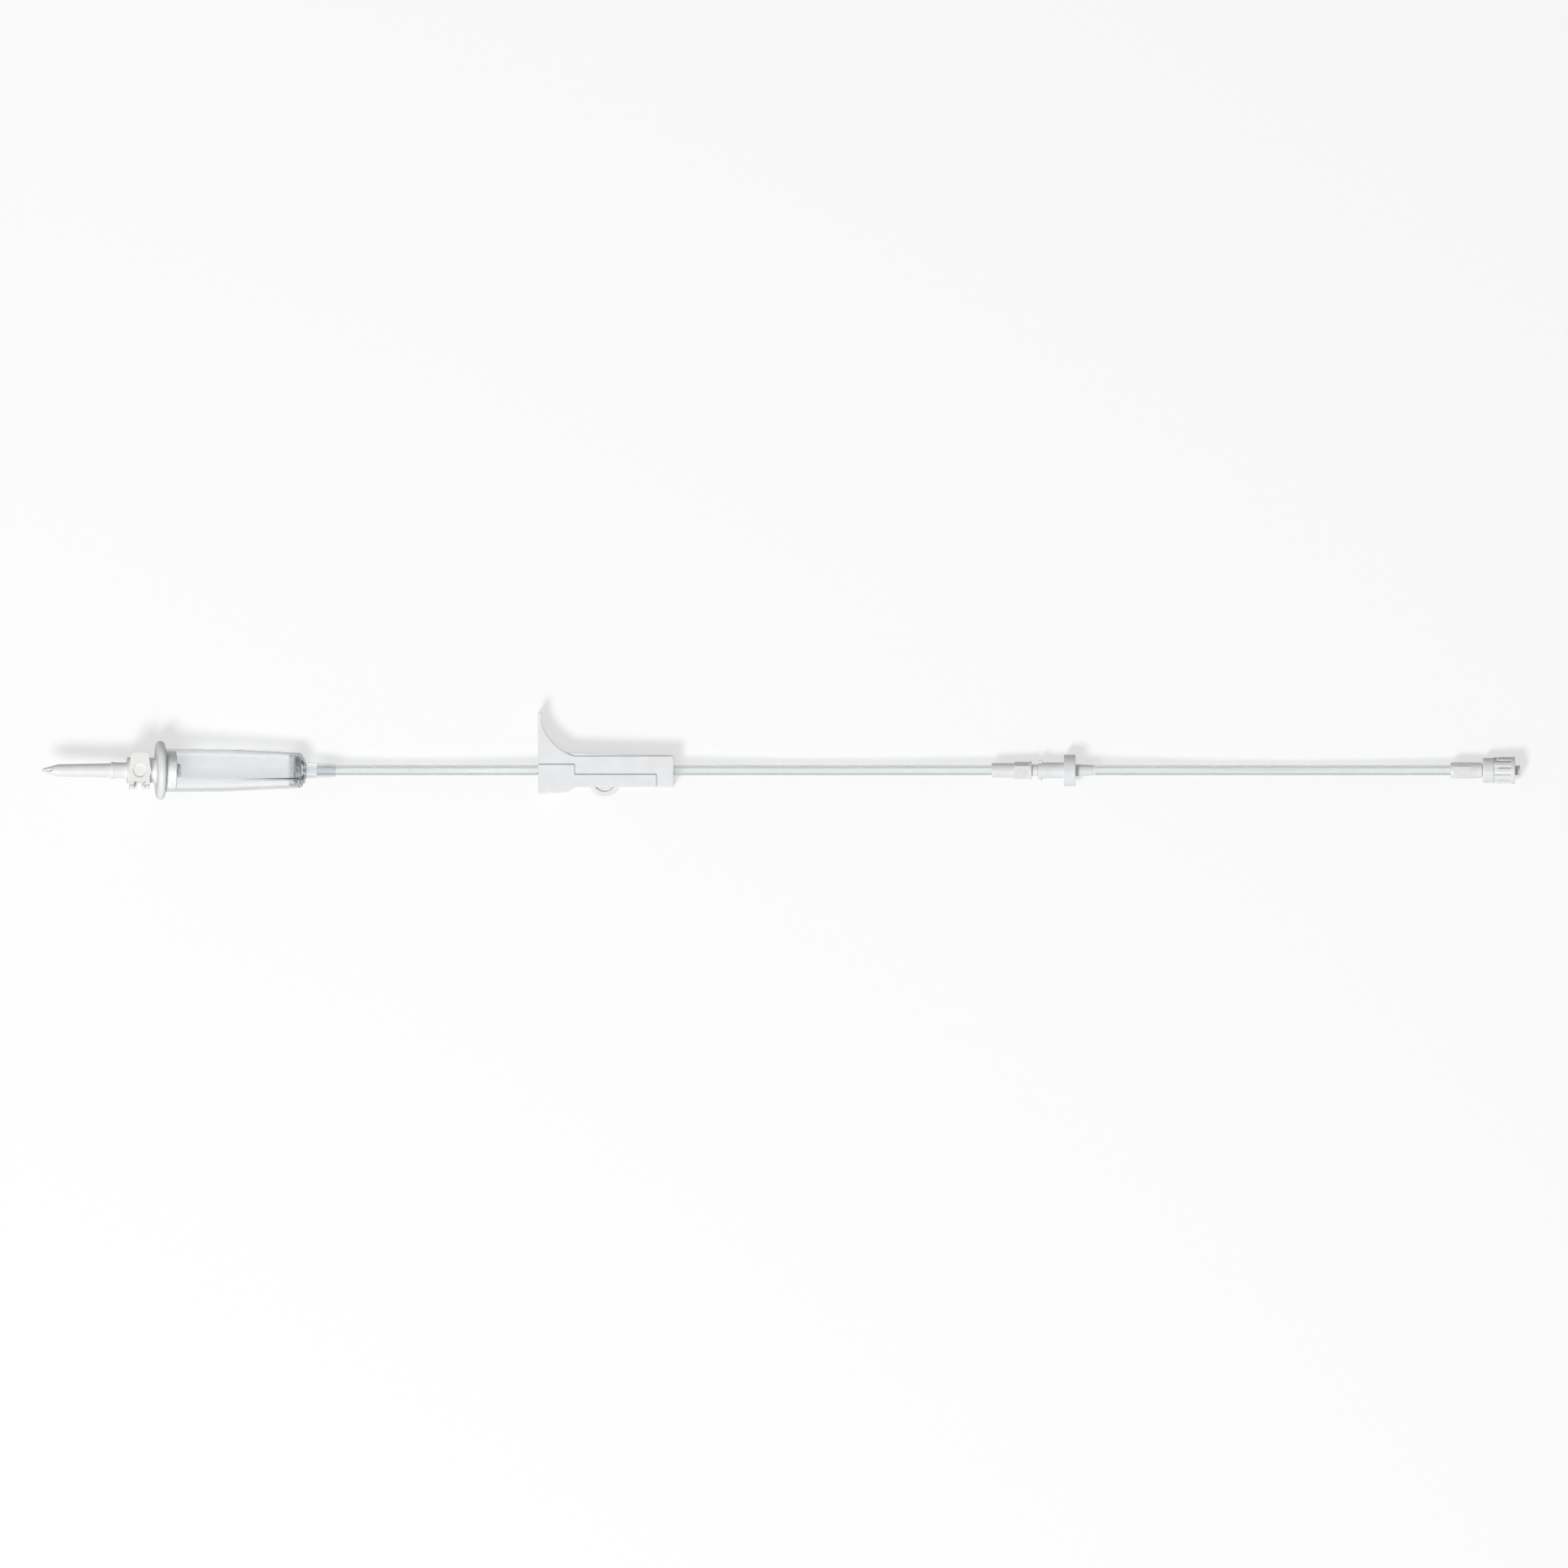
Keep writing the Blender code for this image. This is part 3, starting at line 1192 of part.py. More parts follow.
def squeezed(place):
    """Share of its radius that the tubing keeps: the roller presses it against the clamp's back wall."""
    reach = WHEEL_RADIUS * 1.4
    away = abs(place.x - CLAMP_X - WHEEL_REST_X) / reach
    gap = wedge_height(WHEEL_REST_X) - WHEEL_REST_Y - WHEEL_RADIUS - 0.3 * MM
    least = gap / (2 * TUBE_RADIUS)
    return 1.0 if away >= 1.0 else 1.0 - (1.0 - least) * (0.5 + 0.5 * math.cos(math.pi * away))


# Route of the long tube: x past an anchor, y from the axis, z above the table, all in millimetres
AFTER_CHAMBER = [(12.0, 0.0, 5.9), (30.0, 0.0, 5.25), (50.0, 0.0, 5.3), (70.0, 0.0, 6.1), (82.0, 0.0, 6.7)]
INSIDE_CLAMP = [
    (0.0, 0.1, 6.8),
    (6.0, 0.75, 6.8),
    (12.0, 1.9, 6.8),
    (18.0, 3.0, 6.8),
    (23.5, 3.8, 6.8),
    (28.7, 4.41, 6.8),
    (34.0, 3.55, 6.8),
    (39.5, 2.3, 6.8),
    (45.0, 1.15, 6.8),
    (51.0, 0.3, 6.8),
    (55.0, 0.05, 6.8),
    (58.6, 0.0, 6.8),
]
AFTER_CLAMP = [
    (6.0, 0.0, 6.8),
    (25.0, 0.0, 6.0),
    (50.0, 0.0, 5.2),
    (75.0, 0.0, 5.05),
    (100.0, 0.0, 5.6),
    (125.0, 0.0, 6.55),
    (134.0, 0.0, 6.8),
]
AFTER_VALVE = [
    (6.0, 0.0, 6.75),
    (25.0, 0.0, 5.75),
    (50.0, 0.0, 4.6),
    (77.0, 0.0, 4.0),
    (105.0, 0.0, 4.3),
    (130.0, 0.0, 5.2),
    (148.0, 0.0, 5.8),
]


def stretch(anchor, points):
    """Route points in metres from a table of millimetres past an anchor."""
    return [(anchor + x * MM, AXIS_Y + y * MM, z * MM) for x, y, z in points]


def line_route():
    """From the outlet's socket through the clamp to the connector's socket."""
    socket_floor = OUTLET_END - TUBE_SOCKET_DEPTH + FACE_GAP
    last = CONNECTOR_X + TUBE_SOCKET_DEPTH - FACE_GAP
    return (
        [chamber_axis_point(socket_floor), chamber_axis_point(OUTLET_END)]
        + stretch(OUTLET_X, AFTER_CHAMBER)
        + stretch(CLAMP_X, INSIDE_CLAMP)
        + stretch(CLAMP_X + CLAMP_LENGTH, AFTER_CLAMP)
        + [(last, AXIS_Y, VALVE_HEIGHT)]
    )


def patient_route():
    """From the valve's cone to the end connector's socket."""
    return (
        [(PATIENT_TUBE_X + FACE_GAP, AXIS_Y, VALVE_HEIGHT)]
        + stretch(PATIENT_TUBE_X, AFTER_VALVE)
        + [
            (END_X, AXIS_Y, END_HEIGHT),
            (END_X + TUBE_SOCKET_DEPTH - FACE_GAP, AXIS_Y, END_HEIGHT),
        ]
    )


def main():
    """Builds every piece of the set."""
    for old in list(bpy.data.objects):
        bpy.data.objects.remove(old)

    spike_white = finish("spike_white", (0.86, 0.87, 0.87), 0.38)
    cap_white = finish("cap_white", (0.90, 0.90, 0.89), 0.42)
    membrane_white = finish("filter_membrane", (0.93, 0.93, 0.91), 0.85)
    nozzle_clear = finish("nozzle_natural", (0.82, 0.84, 0.85), 0.30)
    chamber_clear = finish("chamber_clear", (0.80, 0.86, 0.88), 0.12, 0.35)
    outlet_clear = finish("outlet_clear", (0.82, 0.87, 0.88), 0.15, 0.45)
    filter_grey = finish("filter_mesh", (0.45, 0.46, 0.47), 0.75)
    tube_clear = finish("tubing_clear", (0.84, 0.88, 0.89), 0.18, 0.45)
    clamp_white = finish("clamp_white", (0.88, 0.89, 0.89), 0.45)
    wheel_white = finish("wheel_white", (0.84, 0.85, 0.86), 0.50)
    connector_clear = finish("connector_clear", (0.83, 0.87, 0.88), 0.16, 0.55)
    valve_clear = finish("valve_clear", (0.83, 0.87, 0.89), 0.14, 0.55)
    silicone = finish("valve_silicone", (0.72, 0.70, 0.66), 0.60)
    collar_white = finish("collar_white", (0.87, 0.88, 0.88), 0.40)

    chamber = add_frame(
        "chamber_axis", (SPIKE_TIP_X, AXIS_Y, SPIKE_TIP_HEIGHT), (0.0, CHAMBER_TILT, 0.0)
    )
    make_spike_body(chamber, spike_white)
    make_vent_filter(chamber, membrane_white)
    make_vent_cap(chamber, cap_white)
    make_drop_nozzle(chamber, nozzle_clear)
    make_drip_chamber(chamber, chamber_clear)
    make_fluid_filter(chamber, filter_grey)
    make_chamber_outlet(chamber, outlet_clear)

    clamp = add_frame("clamp_frame", (CLAMP_X, AXIS_Y, CLAMP_HEIGHT))
    make_clamp_body(clamp, clamp_white)
    make_clamp_wheel(clamp, wheel_white)

    make_line_connector(add_frame("connector_axis", (CONNECTOR_X, AXIS_Y, VALVE_HEIGHT)), connector_clear)
    valve = add_frame("valve_axis", (VALVE_X, AXIS_Y, VALVE_HEIGHT))
    make_valve_inlet(valve, valve_clear)
    make_valve_membrane(valve, silicone)
    make_valve_outlet(valve, valve_clear)

    make_end_connector(add_frame("end_axis", (END_X, AXIS_Y, END_HEIGHT)), connector_clear)
    make_lock_collar(add_frame("collar_axis", (COLLAR_X, AXIS_Y, END_HEIGHT)), collar_white)

    make_tube("line_tube", line_route(), squeezed, tube_clear)
    make_tube("patient_tube", patient_route(), lambda place: 1.0, tube_clear)


main()
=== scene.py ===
"""Looks of a gravity infusion set: spike, drip chamber, roller clamp, check valve and lock connector on
clear tubing.

Sizes in the classes are in millimetres, and the meshes in metres. Each assembly is modelled along its own
axis, which runs along +X with +Z up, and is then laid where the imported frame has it.
"""

import logging
import math
from collections.abc import Callable
from dataclasses import dataclass, field
from enum import Enum
from itertools import pairwise

import bmesh
import bpy
from mathutils import Matrix, Vector


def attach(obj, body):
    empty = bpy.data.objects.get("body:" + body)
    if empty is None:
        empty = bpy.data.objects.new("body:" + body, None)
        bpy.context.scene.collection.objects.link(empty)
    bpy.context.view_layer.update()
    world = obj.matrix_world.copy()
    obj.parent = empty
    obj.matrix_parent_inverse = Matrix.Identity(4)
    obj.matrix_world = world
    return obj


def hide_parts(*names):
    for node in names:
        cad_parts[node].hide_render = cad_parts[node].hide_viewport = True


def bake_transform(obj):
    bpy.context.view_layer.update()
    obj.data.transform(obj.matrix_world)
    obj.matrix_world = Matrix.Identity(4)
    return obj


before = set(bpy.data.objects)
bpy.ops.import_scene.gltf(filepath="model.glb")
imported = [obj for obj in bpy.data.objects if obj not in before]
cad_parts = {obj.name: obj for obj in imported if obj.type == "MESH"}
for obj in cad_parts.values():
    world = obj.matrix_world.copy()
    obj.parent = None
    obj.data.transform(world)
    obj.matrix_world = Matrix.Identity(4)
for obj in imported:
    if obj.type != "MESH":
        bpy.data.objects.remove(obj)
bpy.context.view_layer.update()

Object = bpy.types.Object
Material = bpy.types.Material
Socket = bpy.types.NodeSocket
Pair = tuple[float, float]
Point = tuple[float, float, float]
Profile = list[Pair]
Outline = list[Pair]
FaceTest = Callable[[Vector, Vector], bool]

LOG = logging.getLogger("infusion_set")

MM = 0.001
SEAM = 1e-7
WHOLE_TURN = 2 * math.pi

# Facets round a wide, a middling and a narrow round piece, and round a pin
FINE = 96
MEDIUM = 64
SMALL = 48
TINY = 24


class Body(Enum):
    """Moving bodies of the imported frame."""

    LINE = "line"
    CLAMP = "clamp"
    ROLLER = "roller"
    CAP = "cap"
    COLLAR = "collar"


class Slot(Enum):
    """Material slots of the record."""

    SPIKE = "spike_white"
    CAP = "cap_white"
    MEMBRANE = "filter_membrane"
    NOZZLE = "nozzle_natural"
    CHAMBER = "chamber_clear"
    OUTLET = "outlet_clear"
    MESH = "filter_mesh"
    TUBING = "tubing_clear"
    CLAMP = "clamp_white"
    WHEEL = "wheel_white"
    CONNECTOR = "connector_clear"
    VALVE = "valve_clear"
    SILICONE = "valve_silicone"
    COLLAR = "collar_white"


class Plane(Enum):
    """Plane that an outline is drawn in, as the axes that its two coordinates and its depth run along."""

    FLAT = ((1.0, 0.0, 0.0), (0.0, 1.0, 0.0), (0.0, 0.0, 1.0))
    CROSS = ((0.0, 1.0, 0.0), (0.0, 0.0, 1.0), (1.0, 0.0, 0.0))
    LENGTHWISE = ((1.0, 0.0, 0.0), (0.0, 0.0, 1.0), (0.0, -1.0, 0.0))


class Step(Enum):
    """What a Boolean does with its tool."""

    ADD = "UNION"
    TAKE = "DIFFERENCE"
    KEEP_COMMON = "INTERSECT"


# Places of the assemblies


@dataclass(frozen=True)
class Axis:
    """Line that an assembly lies on.

    Args:
        origin: start of the line in the frame, in metres.
        tilt: turn about +Y, in radians, which lowers the +X end.
    """

    origin: Point
    tilt: float = 0.0

    def matrix(self) -> Matrix:
        """Matrix from the assembly's own space to the frame."""
        return Matrix.Translation(self.origin) @ Matrix.Rotation(self.tilt, 4, "Y")

    def at(self, x: float, y: float = 0.0, z: float = 0.0) -> Vector:
        """Place of a point in the frame.

        Args:
            x: station along the assembly, in millimetres.
            y: place across it.
            z: height over its axis.

        Returns:
            The place, in metres.
        """
        return self.matrix() @ Vector((x * MM, y * MM, z * MM))


LINE_Y = -0.0061
CHAMBER_AXIS = Axis((-0.3186746, LINE_Y, 0.0167250), 0.0795217)
CLAMP_AXIS = Axis((-0.1048754, LINE_Y, 0.0068))
CONNECTOR_AXIS = Axis((0.0908246, LINE_Y, 0.0068))
VALVE_AXIS = Axis((0.1108246, LINE_Y, 0.0068))
END_AXIS = Axis((0.2886246, LINE_Y, 0.0058375))
COLLAR_AXIS = Axis((0.3024746, LINE_Y, 0.0058375))


# Finishes


@dataclass(frozen=True)
class NodeSheet:
    """Node tree of a new material, with short ways to add to it.

    Args:
        material: the material that the nodes are in.
    """

    material: Material

    @classmethod
    def new(cls, name: str) -> "NodeSheet":
        """Starts a new material, with only its shader and output.

        Args:
            name: the material's name.

        Returns:
            Its sheet.
        """
        material = bpy.data.materials.new(name)
        material.use_nodes = True
        return cls(material)

    @property
    def shader(self) -> bpy.types.Node:
        """The Principled BSDF."""
        return self.material.node_tree.nodes["Principled BSDF"]

    def add(self, kind: str, **values: float | tuple[float, ...]) -> bpy.types.Node:
        """Adds a node and sets its inputs.

        Args:
            kind: the node's type name.
            values: input values, by the input's name in lower case with underscores.

        Returns:
            The new node.
        """
        node = self.material.node_tree.nodes.new(kind)
        for name, value in values.items():
            node.inputs[name.replace("_", " ").title()].default_value = value
        return node

    def link(self, source: Socket, target: Socket) -> None:
        """Joins an output to an input."""
        self.material.node_tree.links.new(source, target)

    def feed(self, name: str, source: Socket | float) -> None:
        """Gives one of the shader's inputs its source or its value.

        Args:
            name: the input's name.
            source: an output, or a number.
        """
        if isinstance(source, Socket):
            self.link(source, self.shader.inputs[name])
        else:
            self.shader.inputs[name].default_value = source

    def place(self, stretch: Point = (1.0, 1.0, 1.0)) -> Socket:
        """Object coordinates.

        Args:
            stretch: scale along each axis.

        Returns:
            The scaled coordinates.
        """
        mapping = self.add("ShaderNodeMapping", scale=stretch)
        self.link(self.add("ShaderNodeTexCoord").outputs["Object"], mapping.inputs["Vector"])
        return mapping.outputs["Vector"]

    def noise(self, grain: float, detail: float = 3.0, stretch: Point = (1.0, 1.0, 1.0)) -> Socket:
        """Noise on the object's coordinates.

        Args:
            grain: size of a grain, in millimetres.
            detail: octaves of finer noise.
            stretch: scale of the pattern along each axis.

        Returns:
            The noise's value.
        """
        noise = self.add("ShaderNodeTexNoise", scale=1.0 / (grain * MM), detail=detail)
        self.link(self.place(stretch), noise.inputs["Vector"])
        return noise.outputs["Fac"]

    def ranged(self, source: Socket, low: float, high: float) -> Socket:
        """Spreads the middle of a noise's range.

        Args:
            source: the noise.
            low: value at the low end.
            high: value at the high end.

        Returns:
            The spread value.
        """
        node = self.add("ShaderNodeMapRange", from_min=0.3, from_max=0.7, to_min=low, to_max=high)
        self.link(source, node.inputs["Value"])
        return node.outputs["Result"]

    def blended(
        self, source: Socket, first: Point, second: Point, start: float = 0.35, end: float = 0.65
    ) -> Socket:
        """Colour between two.

        Args:
            source: value that chooses between them.
            first: linear colour up to the start.
            second: linear colour from the end.
            start: value where the blend starts.
            end: value where it ends.

        Returns:
            The colour.
        """
        ramp = self.add("ShaderNodeValToRGB")
        for element, position, colour in zip(ramp.color_ramp.elements, (start, end), (first, second)):
            element.position = position
            element.color = (*colour, 1.0)
        self.link(source, ramp.inputs["Fac"])
        return ramp.outputs["Color"]

    def reckoned(self, operation: str, first: Socket, second: Socket | float) -> Socket:
        """Works one value out from two.

        Args:
            operation: the math node's operation.
            first: the first value.
            second: the second value, or a number.

        Returns:
            The result.
        """
        node = self.add("ShaderNodeMath")
        node.operation = operation
        self.link(first, node.inputs[0])
        if isinstance(second, Socket):
            self.link(second, node.inputs[1])
        else:
            node.inputs[1].default_value = second
        return node.outputs["Value"]

    def mixed(self, share: Socket, first: Socket, second: Socket) -> None:
        """Sends a mix of two shaders to the output.

        Args:
            share: share of the second.
            first: the first shader.
            second: the second shader.
        """
        mix = self.add("ShaderNodeMixShader")
        for source, target in zip((share, first, second), mix.inputs):
            self.link(source, target)
        self.link(mix.outputs["Shader"], self.material.node_tree.nodes["Material Output"].inputs["Surface"])

    def bump(self, source: Socket, depth: float) -> Socket:
        """Surface relief.

        Args:
            source: height, from 0 to 1.
            depth: height of 1, in millimetres.

        Returns:
            The bent normal.
        """
        bump = self.add("ShaderNodeBump", strength=1.0, distance=depth * MM)
        self.link(source, bump.inputs["Height"])
        return bump.outputs["Normal"]


def shaded(colour: Point, share: float) -> Point:
    """The colour at that share of its brightness."""
    return (colour[0] * share, colour[1] * share, colour[2] * share)


@dataclass(frozen=True)
class MouldedPlastic:
    """Opaque injection moulding with a satin skin.

    Args:
        name: the material's name.
        colour: linear colour.
        roughness: middle of the skin's roughness.
        grain: size of the skin's texture, in millimetres.
        relief: depth of that texture, in millimetres.
        flow: size of the faint clouds that the melt leaves, in millimetres.
        ior: index of refraction.
    """

    name: str
    colour: Point
    roughness: float = 0.48
    grain: float = 0.22
    relief: float = 0.006
    flow: float = 7.0
    ior: float = 1.52

    def material(self) -> Material:
        """Builds the material."""
        sheet = NodeSheet.new(self.name)
        clouds = sheet.noise(self.flow, detail=4.0)
        sheet.feed("Base Color", sheet.blended(clouds, shaded(self.colour, 0.955), self.colour))
        sheet.feed("Roughness", sheet.ranged(clouds, self.roughness - 0.05, self.roughness + 0.06))
        sheet.feed("Normal", sheet.bump(sheet.noise(self.grain, detail=5.0), self.relief))
        sheet.feed("IOR", self.ior)
        return sheet.material


@dataclass(frozen=True)
class ClearPlastic:
    """Clear plastic, with painted shade that darkens it towards its rims, where it is looked at along its
    wall, and with draw lines where it was extruded.

    Args:
        name: the material's name.
        tint: linear colour that light takes through its face.
        rim: linear colour of the painted shade at its rims, where it is looked at along its wall.
        rim_shade_from: how far the surface faces away where the painted shade at its rims starts, from 0 to
            1.
        rim_shade_at: how far it faces away where that painted shade is full.
        roughness: middle of its roughness.
        drawn: stretch of its relief along +X: under 1 makes lengthwise lines.
        relief: depth of the relief, in millimetres.
        ior: index of refraction.
        shadow: share of the lamps' light that it lets through.
    """

    name: str
    tint: Point
    # Dark colour of the painted shade at the rims
    rim: Point = (0.12, 0.14, 0.15)
    rim_shade_from: float = 0.45
    rim_shade_at: float = 0.95
    roughness: float = 0.06
    drawn: float = 1.0
    relief: float = 0.004
    ior: float = 1.46
    shadow: float = 0.5

    def material(self) -> Material:
        """Builds the material."""
        sheet = NodeSheet.new(self.name)
        # Painted shade: the base colour turns from the tint to the dark rim colour as the surface faces
        # away from the view, which draws dark outlines at the rims
        facing = sheet.add("ShaderNodeLayerWeight", blend=0.5).outputs["Facing"]
        sheet.feed("Base Color", sheet.blended(facing, self.tint, self.rim, self.rim_shade_from, self.rim_shade_at))
        haze = sheet.noise(5.0, detail=4.0)
        sheet.feed("Roughness", sheet.ranged(haze, self.roughness * 0.6, self.roughness * 1.5))
        waves = sheet.noise(3.0, detail=2.0, stretch=(self.drawn, 1.0, 1.0))
        sheet.feed("Normal", sheet.bump(waves, self.relief))
        sheet.feed("IOR", self.ior)
        sheet.feed("Transmission Weight", 1.0)
        light = sheet.add("ShaderNodeBsdfTransparent", color=(*shaded(self.tint, self.shadow), 1.0))
        cast = sheet.add("ShaderNodeLightPath").outputs["Is Shadow Ray"]
        sheet.mixed(cast, sheet.shader.outputs["BSDF"], light.outputs["BSDF"])
        return sheet.material


@dataclass(frozen=True)
class MilkyPlastic:
    """Translucent natural moulding, through which shapes show only faintly.

    Args:
        name: the material's name.
        colour: linear colour.
        through: share of the light that passes.
        roughness: middle of its roughness.
        ior: index of refraction.
    """

    name: str
    colour: Point
    through: float = 0.3
    roughness: float = 0.3
    ior: float = 1.5

    def material(self) -> Material:
        """Builds the material."""
        sheet = NodeSheet.new(self.name)
        clouds = sheet.noise(4.0, detail=4.0)
        sheet.feed("Base Color", sheet.blended(clouds, shaded(self.colour, 0.96), self.colour))
        sheet.feed("Roughness", sheet.ranged(clouds, self.roughness - 0.06, self.roughness + 0.06))
        sheet.feed("Normal", sheet.bump(sheet.noise(0.25, detail=4.0), 0.004))
        sheet.feed("IOR", self.ior)
        sheet.feed("Transmission Weight", self.through)
        return sheet.material


@dataclass(frozen=True)
class WovenMesh:
    """Fine square weave.

    Args:
        name: the material's name.
        thread: linear colour of the threads.
        gap: linear colour between them.
        pitch: distance from thread to thread, in millimetres.
    """

    name: str
    thread: Point
    gap: Point
    pitch: float = 0.24

    def material(self) -> Material:
        """Builds the material."""
        sheet = NodeSheet.new(self.name)
        threads = []
        for direction in ("Y", "Z"):
            wave = sheet.add("ShaderNodeTexWave", scale=0.5 / (self.pitch * MM) / math.pi)
            wave.bands_direction = direction
            sheet.link(sheet.place(), wave.inputs["Vector"])
            threads.append(wave.outputs["Fac"])
        crossing = sheet.reckoned("MAXIMUM", *threads)
        sheet.feed("Base Color", sheet.blended(crossing, self.gap, self.thread))
        sheet.feed("Normal", sheet.bump(crossing, self.pitch / 4))
        sheet.feed("Roughness", 0.7)
        return sheet.material


@dataclass(frozen=True)
class SoftRubber:
    """Matt silicone or filter membrane.

    Args:
        name: the material's name.
        colour: linear colour.
        grain: size of the surface's grain, in millimetres.
    """

    name: str
    colour: Point
    grain: float = 0.3

    def material(self) -> Material:
        """Builds the material."""
        sheet = NodeSheet.new(self.name)
        grain = sheet.noise(self.grain, detail=6.0)
        sheet.feed("Base Color", sheet.blended(grain, shaded(self.colour, 0.93), self.colour))
        sheet.feed("Roughness", sheet.ranged(grain, 0.6, 0.8))
        sheet.feed("Normal", sheet.bump(grain, 0.02))
        return sheet.material


Finish = MouldedPlastic | ClearPlastic | MilkyPlastic | WovenMesh | SoftRubber


@dataclass
class Palette:
    """Finishes of the whole set, each made once.

    Args:
        made: materials made so far, by their finish's name.
    """

    made: dict[str, Material] = field(default_factory=dict)

    spike: Finish = MouldedPlastic("spike_abs", (0.84, 0.85, 0.85))
    cap: Finish = MouldedPlastic("cap_polypropylene", (0.85, 0.85, 0.84), roughness=0.46)
    nozzle: Finish = MouldedPlastic("nozzle_natural", (0.80, 0.82, 0.83), roughness=0.3)
    clamp: Finish = MouldedPlastic("clamp_abs", (0.84, 0.85, 0.86), roughness=0.45, grain=0.3)
    wheel: Finish = MouldedPlastic("wheel_abs", (0.80, 0.81, 0.82), roughness=0.5)
    collar: Finish = MouldedPlastic("collar_abs", (0.84, 0.85, 0.85), roughness=0.4)
    chamber: Finish = ClearPlastic("chamber_clear_pvc", (0.965, 0.98, 0.985), drawn=0.35)
    outlet: Finish = ClearPlastic("outlet_clear_pvc", (0.93, 0.955, 0.965), roughness=0.12)
    # The tubing gets a darker painted shade at its rims, which starts nearer its middle
    tubing: Finish = ClearPlastic(
        "tubing_clear_pvc",
        (0.94, 0.96, 0.965),
        (0.08, 0.10, 0.11),
        rim_shade_from=0.22,
        rim_shade_at=0.72,
        roughness=0.12,
        drawn=0.04,
        relief=0.001,
    )
    connector: Finish = MilkyPlastic("connector_natural", (0.90, 0.91, 0.92), through=0.10)
    valve: Finish = MilkyPlastic("valve_natural", (0.90, 0.92, 0.93), through=0.12)
    membrane: Finish = SoftRubber("vent_membrane", (0.86, 0.86, 0.84), 0.15)
    silicone: Finish = SoftRubber("valve_silicone", (0.66, 0.64, 0.60))
    mesh: Finish = WovenMesh("fluid_filter_mesh", (0.50, 0.51, 0.52), (0.16, 0.16, 0.17))

    def of(self, finish: Finish) -> Material:
        """The finish's material, made at its first use.

        Args:
            finish: the finish.

        Returns:
            Its material.
        """
        if finish.name not in self.made:
            self.made[finish.name] = finish.material()
        return self.made[finish.name]


PALETTE = Palette()


# The bench: how every mesh is modelled


